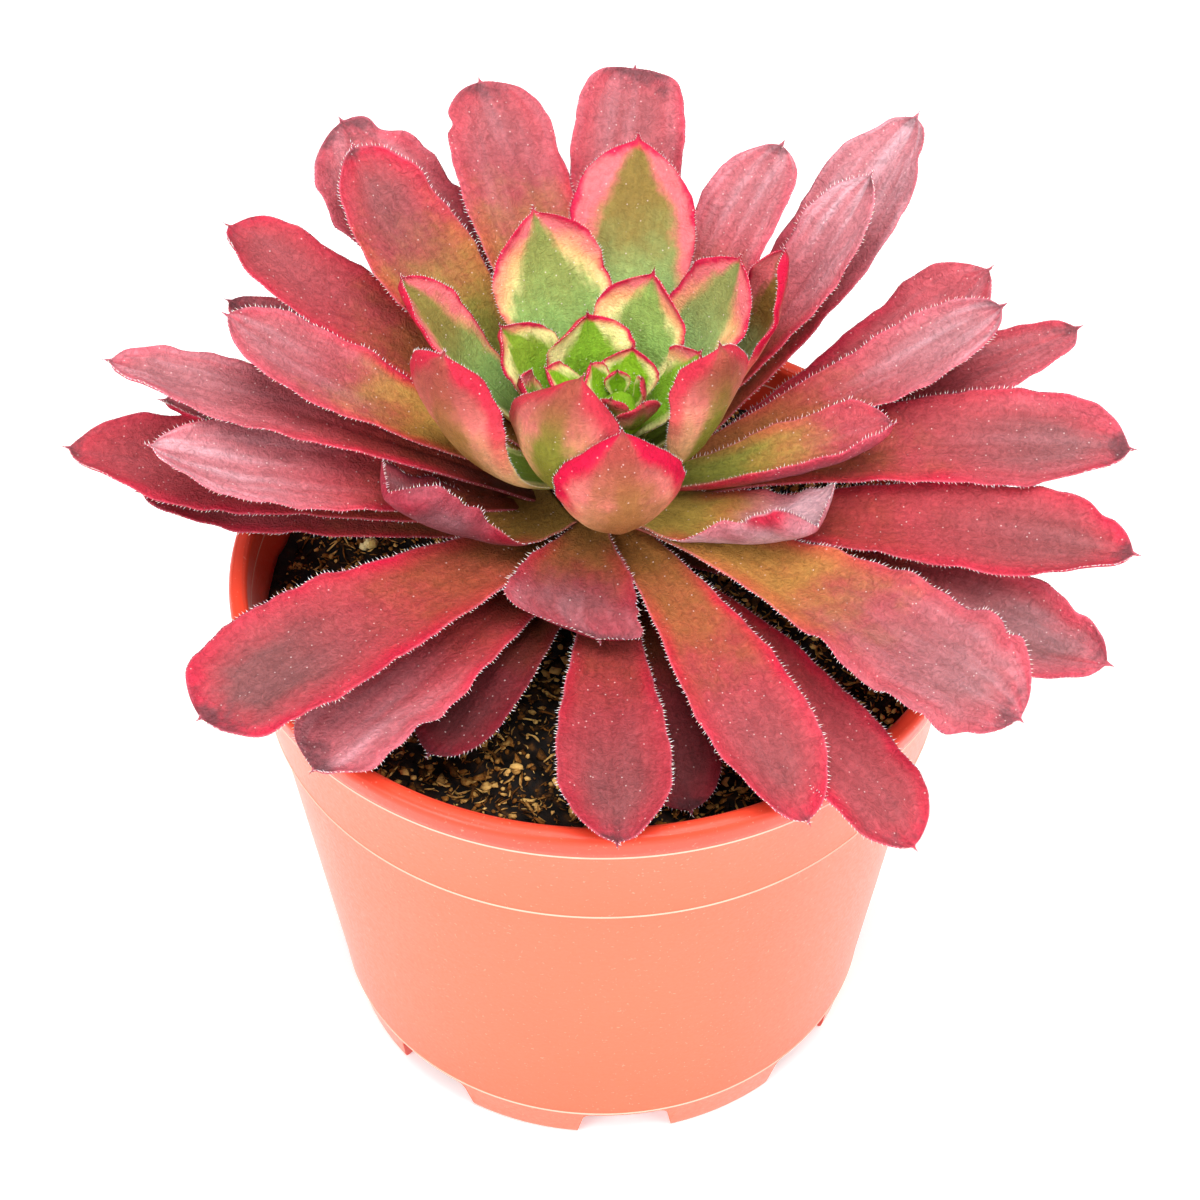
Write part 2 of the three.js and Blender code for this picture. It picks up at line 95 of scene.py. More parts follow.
@dataclass
class Shader:
    """A material and its node tree, ended by one Principled surface."""

    name: str
    material: bpy.types.Material = field(init=False)
    tree: bpy.types.NodeTree = field(init=False)

    def __post_init__(self) -> None:
        """Makes the material with an empty tree."""
        self.material = bpy.data.materials.new(self.name)
        self.material.use_nodes = True
        self.tree = self.material.node_tree
        self.tree.nodes.clear()

    def add(
        self, kind: str, inputs: dict | None = None, output: int | str = 0, **settings
    ) -> bpy.types.NodeSocket:
        """Adds one node with its settings and links.

        Args:
            kind: the node's type without its ShaderNode prefix.
            inputs: for each input, by name or number, a value, a hex colour or a socket to link.
            output: the output to hand back.
            settings: properties of the node, and stops for a colour ramp as (place, hex colour) pairs.

        Returns:
            The chosen output socket.
        """
        node = self.tree.nodes.new("ShaderNode" + kind)
        stops = settings.pop("stops", ())
        for key, value in settings.items():
            setattr(node, key, value)
        for i, (place, colour) in enumerate(stops):
            elements = node.color_ramp.elements
            element = elements[i] if i < 2 else elements.new(place)
            element.position = place
            element.color = linear(colour)
        for key, value in (inputs or {}).items():
            if isinstance(value, bpy.types.NodeSocket):
                self.tree.links.new(value, node.inputs[key])
            else:
                node.inputs[key].default_value = linear(value) if isinstance(value, str) else value
        return node.outputs[output] if node.outputs else None

    def finish(self, surface: dict) -> bpy.types.Material:
        """Ends the tree in one Principled surface.

        Args:
            surface: values and sockets for the Principled node's inputs.

        Returns:
            The finished material.
        """
        self.add("OutputMaterial", {"Surface": self.add("BsdfPrincipled", surface)})
        return self.material


# Surfaces


@dataclass
class Surface:
    """A closed surface: points in millimetres, faces, a UV pair for each point, and named values."""

    points: np.ndarray
    quads: np.ndarray
    triangles: np.ndarray
    uv: np.ndarray
    values: dict[str, np.ndarray] = field(default_factory=dict)

    def mesh(self, name: str) -> bpy.types.Mesh:
        """Puts the points and faces into a new mesh, in metres."""
        made = bpy.data.meshes.new(name)
        made.from_pydata((self.points * MM).tolist(), [], self.quads.tolist() + self.triangles.tolist())
        return made

    def piece(
        self, name: str, material: bpy.types.Material, slot: Slot, nodes: tuple[str, ...] = ()
    ) -> bpy.types.Object:
        """Makes a smooth mesh with the UV map and the named values, and binds it to the frame.

        Args:
            name: the piece's name.
            material: its finish.
            slot: the record's material slot; not used.
            nodes: the part's nodes that the piece stands for.

        Returns:
            The new object, at the origin.
        """
        mesh = self.mesh(name)
        corner_point = np.empty(len(mesh.loops), dtype=np.int32)
        mesh.loops.foreach_get("vertex_index", corner_point)
        mesh.uv_layers.new(name=BLADE_MAP).data.foreach_set("uv", self.uv[corner_point].ravel())
        for key, value in self.values.items():
            spread = np.ascontiguousarray(np.broadcast_to(value, len(self.points)), dtype=np.float32)
            mesh.attributes.new(key, "FLOAT", "POINT").data.foreach_set("value", spread)
        mesh.polygons.foreach_set("use_smooth", np.ones(len(mesh.polygons), dtype=bool))
        mesh.materials.append(material)
        return bind(mesh, name, nodes)


def bind(mesh: bpy.types.Mesh, name: str, nodes: tuple[str, ...] = ()) -> bpy.types.Object:
    """Makes an object of a mesh, ties it to the body, and hides the part's nodes that it stands for.

    Args:
        mesh: the finished mesh, in metres.
        name: the object's name.
        nodes: the part's nodes that the piece stands for.

    Returns:
        The new object.
    """
    made = bpy.data.objects.new(name, mesh)
    bpy.context.scene.collection.objects.link(made)
    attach(made, BODY)
    if nodes:
        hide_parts(*nodes)
    log.info("%s: %d faces", name, len(mesh.polygons))
    return made


def joined(surfaces: list[Surface]) -> Surface:
    """Puts several surfaces into one, with their faces numbered on."""
    starts = np.cumsum([0] + [len(s.points) for s in surfaces[:-1]])
    keys = surfaces[0].values
    return Surface(
        np.concatenate([s.points for s in surfaces]),
        np.concatenate([s.quads + first for s, first in zip(surfaces, starts)]),
        np.concatenate([s.triangles + first for s, first in zip(surfaces, starts)]),
        np.concatenate([s.uv for s in surfaces]),
        {k: np.concatenate([np.broadcast_to(s.values[k], len(s.points)) for s in surfaces]) for k in keys},
    )


def loft(rings: np.ndarray, first: np.ndarray, last: np.ndarray, uv: np.ndarray) -> Surface:
    """Closes a stack of rings into one surface: quads between rings, and a fan to a point at each end.

    Seen from outside, the points of a ring run clockwise when the rings come towards the viewer.

    Args:
        rings: points as an array of rings by points by 3.
        first: the point that closes the first ring.
        last: the point that closes the last ring.
        uv: UV pairs as an array of rings by points by 2.

    Returns:
        The closed surface.
    """
    count, around = rings.shape[:2]
    index = np.arange(count * around).reshape(count, around)
    onward = np.roll(index, -1, axis=1)
    quads = np.stack([index[:-1], index[1:], onward[1:], onward[:-1]], axis=-1).reshape(-1, 4)
    low = np.full(around, count * around)
    low_cap = np.stack([low, index[0], onward[0]], axis=-1)
    high_cap = np.stack([low + 1, onward[-1], index[-1]], axis=-1)
    ends = np.array([uv[0].mean(axis=0), uv[-1].mean(axis=0)])
    return Surface(
        np.concatenate([rings.reshape(-1, 3), [first, last]]),
        quads,
        np.concatenate([low_cap, high_cap]),
        np.concatenate([uv.reshape(-1, 2), ends]),
    )


def ease(x: np.ndarray | float) -> np.ndarray:
    """Rises from 0 to 1 with a level start and end: 3 x squared minus 2 x cubed, held between 0 and 1."""
    held = np.clip(x, 0, 1)
    return held * held * (3 - 2 * held)


def ripples(
    x: np.ndarray, y: np.ndarray, longest: float, shortest: float, count: int, seed: int
) -> np.ndarray:
    """Adds up plane waves with drawn headings, each as high as it is long, scaled to heights near 1.

    Args:
        x: places in mm.
        y: places in mm.
        longest: longest wave in mm.
        shortest: shortest wave in mm.
        count: number of waves.
        seed: seed of the draw.

    Returns:
        Heights, mostly between -1 and 1.
    """
    draw = np.random.default_rng(seed)
    total = np.zeros(np.broadcast(x, y).shape)
    lengths = np.geomspace(longest, shortest, count)
    headings = draw.uniform(0, math.tau, count)
    phases = draw.uniform(0, math.tau, count)
    for length, heading, phase in zip(lengths, headings, phases):
        ahead = x * math.cos(heading) + y * math.sin(heading)
        total += length * np.sin(math.tau * ahead / length + phase)
    return total / np.sqrt(np.sum(lengths**2))


# Leaves

STEM_RADIUS = 9.0
STEM_SHOULDER = 142.0  # the stem narrows above this height
STEM_TOP = 157.0
STEM_TIP_RADIUS = 4.5
CROWN = (3.5, -1.8, 164.5)  # the growing point leans a little off the stem
ROOT_GAP = 0.4  # clear space between the stem and a leaf's root

LINE_STEPS = 72  # straight steps in a leaf's middle line
DENSE_FROM = 0.84  # rings stand closer together beyond this share of the length
EDGE_THICK = 0.7
EDGE_ROUNDING = 9  # power of the rounded edge, higher for a sharper one
LEAST_CURL = 0.03  # radians; a flatter blade is taken to curl by this, so that its arc has a radius
OUTLINE_WAVES = ((0.02, 1.5, 3), (0.014, 6, 9), (0.006, 17, 23))  # share of the width, fewest and most
FOLD_ANGLES = (-8, 48)  # least and greatest fold of a blade's end, in degrees
MARGIN_WAVE = 19.0  # mm from one wave of a margin to the next
CREASES = (12, 3.5, 9)  # longest and shortest crease in mm, and their number
CREASE_HEIGHT = 0.16
GROOVE_DEEP, GROOVE_WIDE = 0.32, 0.09  # depth in mm, and width as a share of the half blade
KEEL_DEEP, KEEL_WIDE = 0.35, 0.14
EDGE_STEPS = 400  # points along an edge, between which the hairs are measured out


def stem_radius(z: float) -> float:
    """The stem's radius: even up to its shoulder, then eased down to the narrow tip."""
    narrow = float(ease((z - STEM_SHOULDER) / (STEM_TOP - STEM_SHOULDER)))
    return STEM_RADIUS + (STEM_TIP_RADIUS - STEM_RADIUS) * narrow


@dataclass(frozen=True)
class Nick:
    """A small bite out of a leaf's edge, as a share of the half width."""

    side: int  # 1 is the left edge, -1 the right
    place: float
    deep: float
    wide: float = 0.02


@dataclass(frozen=True)
class Leaf:
    """One leaf: where it grows, its outline and curl, and what marks its skin.

    Pitch is above the horizon at the root and at the tip. Sweep turns the heading along the leaf, and roll
    turns the blade about its length. Cups are the angles by which the left and the right half curl upwards.
    """

    az: float
    z: float
    length: float
    half: float
    pitch: tuple[float, float]
    sweep: float = 0
    roll: float = 0
    cup: tuple[float, float] = (18, 18)
    late: float = 0  # how much farther out the blade starts to cup
    neck: float = 0.36  # width at the root as a share of the widest
    widest: float = 0.72  # how far along the blade is widest
    blunt: float = 2.5  # high is a round end, low a pointed one
    taper: float = 0.66  # power of the end: low closes round, 1 closes in a straight-sided point
    skew: float = 0  # how far the tip lies to the left
    thick: float = 2.2
    centre: tuple[float, float] = (0, 0)
    root: float | None = None
    wave: float = 0.45  # height of the waves along the margin
    lively: float = 1  # how far the end of the blade folds and creases
    ogee: float = 0.012  # share of the length taken by the narrow run into the point
    nicks: tuple[Nick, ...] = ()
    mucro: float = 1.0  # length of the small point at the tip
    olive: float = 0.4  # how far the brown-green of the base reaches
    grey: float = 0.6  # greyish middle near the tip
    bloom: float = 0.12  # pale waxy streaks
    shade: float = 0  # painted shade: dark maroon for a leaf that lies deep under others and gets no light
    fresh: float = 0.4  # from grey-green to bright yellow-green
    brown: float = 0.5  # olive-brown high in the middle
    cream: float = 0.7  # cream flanks
    blush: float = 0.6  # pink flanks and tip

    @property
    def seed(self) -> int:
        """A number of its own for each leaf, from its place on the stem."""
        return int(self.az * 10 + self.z * 1000) % 9973

    @property
    def last(self) -> float:
        """The share of the length at which the small point ends."""
        return 1 + self.mucro / self.length

    @property
    def marks(self) -> dict[str, float]:
        """What marks the skin, by name."""
        return {word: getattr(self, word) for word in RED_MARKS + YOUNG_MARKS}

    def half_width(self, s: np.ndarray) -> np.ndarray:
        """Half widths at shares s of the length, for the right and the left side.

        The width rises from the neck as a sine to the power 1.6, and ends as 1 minus a power, raised to the
        taper. A hollow-sided point is blended in as a root of squares. Its length is the small point's and
        2.6 times the ogee's, and its half width starts at 0.36 of that and closes as a power of 1.5. Each
        side also has faint waves and its nicks.
        """
        rise = np.sin(math.pi / 2 * np.minimum(1, s / self.widest)) ** 1.6
        end = np.clip((s - self.widest) / (1 - self.ogee - self.widest), 0, 1)
        width = self.half * (self.neck + (1 - self.neck) * rise)
        reach = self.mucro + 2.6 * self.ogee * self.length
        from_tip = np.clip(self.mucro + (1 - s) * self.length, 0, reach)
        point = 0.36 * reach * (from_tip / reach) ** 1.5
        sides = []
        draw = np.random.default_rng(self.seed)
        for side in (-1, 1):
            blade = width * (1 - end ** (self.blunt * draw.uniform(0.85, 1.25))) ** self.taper
            wobble = 1
            for share, fewest, most in OUTLINE_WAVES:
                turns = draw.uniform(fewest, most) * s + draw.uniform()
                wobble = wobble + share * np.sin(math.tau * turns)
            for nick in self.nicks:
                if nick.side == side:
                    wobble = wobble - nick.deep * np.exp(-(((s - nick.place) / nick.wide) ** 2))
            sides.append(np.hypot(blade * wobble, point))
        return np.stack(sides, axis=-1)

    def frames(self, s: np.ndarray) -> tuple[np.ndarray, np.ndarray, np.ndarray, np.ndarray]:
        """The middle line at shares s: its points, and the along, left and up directions there.

        Pitch and heading change evenly along the leaf, and the line is the sum of short straight steps.
        """

        def directions(share: np.ndarray) -> tuple[np.ndarray, np.ndarray]:
            """Directions of the line, and level directions to its left."""
            pitch = np.radians(self.pitch[0] + (self.pitch[1] - self.pitch[0]) * share)
            heading = np.radians(self.az + self.sweep * share)
            flat = np.cos(pitch)
            ahead = np.stack([flat * np.cos(heading), flat * np.sin(heading), np.sin(pitch)], axis=-1)
            return ahead, np.stack([-np.sin(heading), np.cos(heading), np.zeros_like(heading)], axis=-1)

        middles = (np.arange(LINE_STEPS) + 0.5) / LINE_STEPS * self.last
        walk = np.cumsum(directions(middles)[0] * self.length * self.last / LINE_STEPS, axis=0)
        away = math.radians(self.az)
        root = stem_radius(self.z) + ROOT_GAP if self.root is None else self.root
        x, y = self.centre
        start = np.array([x + root * math.cos(away), y + root * math.sin(away), self.z])
        line = np.concatenate([[start], start + walk])
        knots = np.linspace(0, self.last, LINE_STEPS + 1)
        points = np.stack([np.interp(s, knots, line[:, i]) for i in range(3)], axis=-1)
        along, level = directions(s)
        turn = np.radians(self.roll) * ease(s)[:, None]
        left = level * np.cos(turn) + np.cross(along, level) * np.sin(turn)
        return points, along, left, np.cross(along, left)

    def blade(self, s: np.ndarray, t: np.ndarray, share: np.ndarray) -> np.ndarray:
        """Points of the blade.

        Across the leaf the blade is an arc, sunk below its upper face by a share of the thickness. Near the
        end each side folds up or down by an angle of its own, the margins wave, and plane waves crease the
        skin. A faint groove runs along the middle of the upper face, and a keel along the lower one.

        Args:
            s: shares of the length, one for each ring.
            t: from -1 at the right edge to 1 at the left, one for each point of a ring.
            share: how deep in the thickness each point of a ring lies, 0 for the upper face.

        Returns:
            Points as an array of rings by points by 3.
        """
        points, _, left, up = self.frames(s)
        widths = self.half_width(s)
        half = np.where(t > 0, widths[:, 1:], widths[:, :1])
        along = s[:, None]
        # The blade thins out where it is narrower than its neck, and towards its tip and edges
        slim = np.clip(widths.max(axis=1) / max(self.half * self.neck, 0.1), 0.02, 1)[:, None] ** 0.7
        body = self.thick * (0.8 + 0.4 * np.sin(math.pi * np.minimum(1, along + 0.15))) * (1 - 0.4 * along)
        depth = (EDGE_THICK + (body - EDGE_THICK) * (1 - t**2)) * slim * share
        draw = np.random.default_rng(self.seed + 1)
        phase = draw.uniform(0, math.tau, 6)
        folds = draw.uniform(*FOLD_ANGLES, 2) * self.lively
        # Each half cups more and more from the root on, and folds over the last third
        fold = np.where(t > 0, folds[0], folds[1]) * ease((along - 0.68) / 0.3)
        at_root = 0.35 * (1 - self.late)
        opened = at_root + (1 - at_root) * ease((along - 0.4 * self.late) / 0.5)
        curl = np.radians(np.where(t > 0, self.cup[0], self.cup[1]) * opened + fold)
        curl = np.where(np.abs(curl) < LEAST_CURL, LEAST_CURL, curl)
        bend = curl * np.abs(t)
        past = np.clip((along - self.widest) / (1 - self.widest), 0, 1)
        side = half * np.sin(bend) * np.sign(t) / curl + self.skew * past**2
        lift = half * (1 - np.cos(bend)) / curl
        # The margins wave in a beat of their own, the middle sways at half of it, and the skin creases
        beat = self.length / MARGIN_WAVE * math.tau * along
        per_side = np.where(t > 0, phase[0], phase[1])
        margin = np.sin(beat + per_side) + 0.5 * np.sin(2.3 * beat + 2 * per_side)
        sway = 0.6 * np.sin(0.5 * beat + phase[3])
        creases = CREASE_HEIGHT * self.lively * ripples(along * self.length, t * half, *CREASES, self.seed)
        calm = ease((along - 0.25) / 0.45) * slim
        heave = calm * (self.wave * (margin * np.abs(t) ** 2.5 + sway) + creases)
        groove = -GROOVE_DEEP * np.exp(-((t / GROOVE_WIDE) ** 2)) * (1 - share) * slim
        keel = -KEEL_DEEP * np.exp(-((t / KEEL_WIDE) ** 2)) * (1 - 0.7 * along) * slim * (share > 0.5)
        along_side = side + np.sin(bend) * np.sign(t) * depth
        along_up = lift - np.cos(bend) * depth + heave + groove + keel
        return points[:, None] + left[:, None] * along_side[..., None] + up[:, None] * along_up[..., None]

    def insets(self, s: np.ndarray, t: np.ndarray) -> np.ndarray:
        """How far points lie from the nearest margin of the flat leaf, as shares of the half width.

        Args:
            s: shares of the length, one for each ring.
            t: places across, one for each point of a ring.

        Returns:
            One share for each point, ring by ring.
        """
        widths = self.half_width(s)
        half = np.where(t > 0, widths[:, 1:], widths[:, :1])
        ahead = s * self.length
        flat = np.stack(np.broadcast_arrays(ahead[:, None], t * half), axis=-1).reshape(-1, 1, 2)
        margins = [np.column_stack([ahead, side]) for side in (-widths[:, 0], widths[:, 1])]
        return np.linalg.norm(flat - np.concatenate(margins), axis=-1).min(axis=1) / self.half

    def surface(self, rings: int, across: int) -> Surface:
        """The closed blade: rings of points over the upper face, round the edge and back below.

        Args:
            rings: number of rings from root to tip, closer together near the tip.
            across: number of points from edge to edge, closer together near the edges.

        Returns:
            The surface, with the leaf's marks as values.
        """
        body = np.linspace(0, DENSE_FROM, rings * 3 // 5, endpoint=False)
        left_over = 1 - np.linspace(0, 1, rings - len(body), endpoint=False)
        s = np.concatenate([body, self.last - (self.last - DENSE_FROM) * left_over**1.7])
        even = np.linspace(-1, 1, across)
        upper = 0.45 * even + 0.55 * np.sin(math.pi / 2 * even)
        t = np.concatenate([upper, upper[-2:0:-1]])
        # The edge is rounded: both faces close to the middle of the thickness as a root of 1 minus a power
        open_share = 0.5 * np.sqrt(np.clip(1 - np.abs(t) ** EDGE_ROUNDING, 0, 1))
        is_lower = np.arange(len(t)) >= across
        share = np.where(is_lower, 0.5 + open_share, 0.5 - open_share)
        ends = self.blade(np.array([0, self.last]), np.array([0.0]), np.array([0.5]))[:, 0]
        uv = np.stack(np.broadcast_arrays(t / 2 + 0.5, s[:, None]), axis=-1)
        made = loft(self.blade(s, t, share), ends[0], ends[1], uv)
        under = np.append(np.tile(np.where(is_lower, 1.0, 0.0), len(s)), [0.5, 0.5])
        inset = np.append(self.insets(s, t), [1.0, 0.0])
        made.values = {"under": under, "inset": inset, "seed": (self.seed % 97) / 9.7, **self.marks}
        return made

    def edge(self, side: int, spacing: float) -> tuple[np.ndarray, np.ndarray, np.ndarray]:
        """Places for hairs along one edge, with the directions away from the leaf and along the edge.

        Args:
            side: 1 for the left edge, -1 for the right.
            spacing: distance between hairs in mm.

        Returns:
            Three arrays of the same length.
        """
        s = np.linspace(0.05, 1 + 0.6 * self.mucro / self.length, EDGE_STEPS)
        strip = self.blade(s, np.array([0.9 * side, float(side)]), np.array([0.5, 0.5]))
        line = strip[:, 1]
        walked = np.concatenate([[0], np.cumsum(np.linalg.norm(np.diff(line, axis=0), axis=1))])
        stations = np.arange(spacing, walked[-1], spacing)
        draw = np.random.default_rng(self.seed + side + 5)
        stations = stations + draw.uniform(-0.3, 0.3, len(stations)) * spacing
        at = np.stack([np.interp(stations, walked, line[:, i]) for i in range(3)], axis=-1)
        ahead = np.gradient(line, axis=0)
        ahead /= np.linalg.norm(ahead, axis=1, keepdims=True) + 1e-9
        out = strip[:, 1] - strip[:, 0]
        out -= np.sum(out * ahead, axis=1, keepdims=True) * ahead
        out /= np.linalg.norm(out, axis=1, keepdims=True) + 1e-9
        pick = np.clip(np.searchsorted(walked, stations), 0, len(s) - 1)
        return at, out[pick], ahead[pick]


SKIRT = [
    Leaf(182, 127, 84, 8.6, (10, 1), sweep=-8, roll=-10, shade=0.25),
    Leaf(-143, 122.5, 50, 8, (2, -14), shade=0.95),
    Leaf(-20, 127, 96, 12.2, (8, -7), sweep=-4, roll=10, blunt=2.3, grey=1.1, bloom=0.5,
         nicks=(Nick(1, 0.9, 0.12),)),
    Leaf(-51.5, 129, 86.5, 10, (4, -24), widest=0.78, blunt=3.4, ogee=0.006, grey=0.5, olive=0.2),
    Leaf(-88, 124.5, 71, 10.8, (5, -8), neck=0.34, widest=0.8, blunt=1.9, grey=0.8, shade=0.2,
         olive=0.3),
    Leaf(-74, 121, 55, 8.5, (5, -32), widest=0.75, shade=0.5),
    Leaf(-120, 125, 54, 9.3, (2, -18), sweep=-5, widest=0.75, shade=0.8),
    Leaf(-129, 127, 73.5, 11.2, (3, -8), sweep=-7, widest=0.8, blunt=4.5, ogee=0.006, skew=2, grey=0.1,
         bloom=1, wave=0.9, olive=0.2, nicks=(Nick(1, 0.965, 0.12, 0.012),)),
    Leaf(172, 132, 82, 8, (18, 5), sweep=-4, bloom=0.6, shade=0.1),
    Leaf(94, 133, 74, 8, (26, 12), shade=0.2),
    Leaf(153, 133, 80, 8, (23, 9), bloom=0.5),
    Leaf(137, 132.5, 60, 8.5, (16, 8), shade=0.2),
    Leaf(-3, 122, 70, 8.5, (8, 2), shade=0.4),
    Leaf(73, 125, 76, 10, (12, 0), sweep=3, shade=0.1),
    Leaf(30, 126.5, 84, 9, (12, 0), shade=0.1),
    Leaf(103, 122.5, 78, 10, (10, -4), shade=0.1),
    Leaf(128, 126, 76, 10, (14, 2)),
]

OUTER = [
    Leaf(181, 130.5, 99, 11.5, (12, 3), sweep=-10, roll=-12, blunt=2.1, grey=0.3),
    Leaf(-8.5, 131, 97, 11.2, (12, -2), sweep=-6, roll=14, neck=0.26, widest=0.76, blunt=2, grey=0.8,
         olive=0.3, nicks=(Nick(1, 0.92, 0.12),)),
    Leaf(8.5, 135, 97.5, 11.8, (16, -4), sweep=-14, roll=16, neck=0.26, widest=0.76, blunt=2.1, grey=0.9,
         bloom=0.3),
    Leaf(-140.5, 133, 86.5, 14.8, (10, -8), sweep=-2, widest=0.76, blunt=3.8, ogee=0.006, grey=1.2,
         olive=0.35),
    Leaf(-62, 135, 74.5, 10.6, (2.5, -26), blunt=2.8, ogee=0.006, grey=0.7, olive=0.45),
    Leaf(-36, 136, 89, 13.4, (11, -14), sweep=-3, roll=8, neck=0.26, widest=0.8, blunt=3.4, ogee=0.006,
         grey=0.8, olive=0.65, bloom=0.7, wave=1.1, nicks=(Nick(1, 0.87, 0.1), Nick(-1, 0.93, 0.1))),
    Leaf(20, 131.5, 97.5, 8.8, (10, 11), sweep=2, grey=0.3, bloom=0.4),
    Leaf(25, 137, 85, 10.8, (0, 34), sweep=6, neck=0.28, widest=0.8, grey=0.1, olive=0.2, bloom=0.5),
    Leaf(38, 134.5, 95, 10.8, (31, 31), sweep=15, grey=0.1, bloom=1.6, nicks=(Nick(-1, 0.9, 0.14),)),
    Leaf(85, 139, 83.5, 11.4, (45, 22), blunt=5.5, ogee=0.004, grey=0.5, bloom=0.5, wave=0.5),
    Leaf(130, 137, 89, 14, (38, 18), skew=-3, grey=0.4, bloom=0.6, wave=1.2, nicks=(Nick(-1, 0.93, 0.14),)),
]

MIDDLE = [
    Leaf(186, 136.5, 81, 9.3, (8, 20), sweep=-3, roll=-14, blunt=2.1, grey=0.2, bloom=1.4, olive=0.3),
    Leaf(181, 136, 93, 7.9, (28, 6), sweep=-15, roll=-8, bloom=0.9, olive=0.2),
    Leaf(16.5, 140, 79, 7.8, (9, 26), sweep=4, cup=(35, 30), roll=15, neck=0.3, widest=0.76, blunt=2.2,
         bloom=1.2, olive=0.45),
    Leaf(109.5, 141, 80.5, 11.3, (46, 24), blunt=4, ogee=0.006, grey=0.5, bloom=0.4, olive=0.75,
         nicks=(Nick(1, 0.89, 0.16),)),
    Leaf(-150, 138.5, 40, 13.5, (-12, 55), sweep=-22, roll=16, cup=(95, 25), late=0.5, neck=0.5, widest=0.8,
         blunt=8, bloom=0.8, olive=0.7, shade=0.42, wave=0.7, lively=0.2, ogee=0.004, mucro=0.5,
         nicks=(Nick(1, 0.52, 0.25, 0.06),)),
    Leaf(-102, 137.5, 26, 13.4, (-4, -25), roll=-12, neck=0.26, widest=0.8, blunt=4.5, skew=7, bloom=0.6,
         wave=1.2, olive=0.55, grey=1, shade=0.42),
    Leaf(-26, 138, 38, 13.5, (-2, 28), roll=-8, cup=(15, 88), late=0.5, neck=0.5, widest=0.84, blunt=10,
         bloom=3, olive=0.8, wave=0.8, lively=0.1, ogee=0.004, mucro=0.5),
    Leaf(-1, 141, 50, 9, (4, 28), sweep=4, cup=(30, 80), roll=10, grey=0, bloom=0.3, olive=1),
    Leaf(176, 142, 72, 9.2, (22, 31), sweep=-10, roll=-8, olive=0.75, grey=0.4, bloom=0.7),
    Leaf(154, 143, 82, 9, (26, 17), sweep=-5, roll=-8, blunt=3.2, olive=0.5, grey=0.5),
    Leaf(141, 142, 76, 11.4, (40, 28), sweep=-12, widest=0.68, blunt=2.2, skew=-2, olive=1, grey=0.8),
    Leaf(34, 143.5, 72, 8, (24, 48), sweep=8, olive=0.4, grey=0.1, bloom=1.5),
    Leaf(55, 144, 68, 8.8, (46, 28), blunt=3.4, olive=0.5, grey=0.3, bloom=1),
]


def broad(az: float, z: float, length: float, half: float, pitch: tuple[float, float], **more) -> Leaf:
    """A young leaf: broad above its middle, closed by straight sides that run into a short hollow point."""
    form = {"widest": 0.66, "taper": 0.9, "ogee": 0.02, "blunt": 2.2, **more}
    return Leaf(az, z, length, half, pitch, **form)


INNER = [
    Leaf(28, 146, 52, 6.5, (15, 85), cup=(60, 60), fresh=0, brown=1, cream=0, blush=1),
    broad(80, 147, 60, 12.8, (52, 30), skew=2, fresh=0.15, brown=0.9, cream=0.4, blush=0.95),
    broad(-160, 145, 48, 12, (14, 104), roll=35, cup=(40, 40), blunt=3, brown=0.8, blush=0.8),
    broad(-80, 141.5, 38, 13.6, (12, 125), cup=(45, 45), neck=0.3, widest=0.62, ogee=0.01, brown=1,
          cream=0.1, blush=1),
    broad(-18, 146, 40, 10, (35, 100), roll=-45, cup=(40, 40), brown=0.4, blush=0.75),
    broad(113, 149, 44, 11.8, (45, 58), blunt=2.6, wave=0.6, fresh=0.3, brown=0.5, cream=0.9, blush=0.65),
    broad(38, 150, 41, 9.8, (35, 60), blunt=2.8, wave=0.6, fresh=0.15, brown=0.5, cream=0.6, blush=0.8),
    Leaf(154, 147, 46.5, 7.6, (25, 55), cup=(50, 18), fresh=0.3, brown=0.8, cream=0.5, blush=0.9),
    broad(-117, 147.5, 38, 12.4, (20, 140), cup=(45, 45), neck=0.28, skew=3, fresh=0.4, brown=0.4,
          cream=0.8, blush=0.7),
    broad(63, 152, 30, 10, (50, 65), widest=0.62, wave=0.5, fresh=0.4, brown=0.25, cream=0.95, blush=0.6),
    broad(105, 154, 21, 9, (70, 80), widest=0.6, fresh=0.9, brown=0.1, cream=1.5, blush=0.4),
    broad(150, 152, 26, 8.5, (45, 65), widest=0.62, skew=3, fresh=0.9, brown=0.3, cream=1.1, blush=0.4),
    broad(-172, 151, 20, 7, (55, 70), widest=0.62, fresh=0.8, brown=0.2, cream=0.8, blush=0.8),
    broad(12, 153, 22, 8, (40, 62), widest=0.62, fresh=0.9, brown=0.2, cream=0.9, blush=0.6),
]


def young(az: float, z: float, length: float, half: float, pitch: tuple[float, float]) -> Leaf:
    """One of the smallest leaves round the growing point, still bright and thin."""
    return broad(az, z, length, half, pitch, centre=CROWN[:2], root=2, thick=1.6, widest=0.62, wave=0.1,
                 mucro=0.7, fresh=1, brown=0.1, cream=0.9, blush=0.35)


BUD = [
    young(178, 159, 17, 6, (30, 55)),
    young(76, 158.5, 12.5, 6, (35, 65)),
    young(-62, 159, 12, 5, (35, 75)),
    young(145, 160, 10, 4, (45, 75)),
    young(-110, 160.5, 7.5, 3.4, (45, 85)),
    young(10, 161, 7, 3, (55, 90)),
    young(100, 161.5, 6, 2.6, (60, 95)),
]


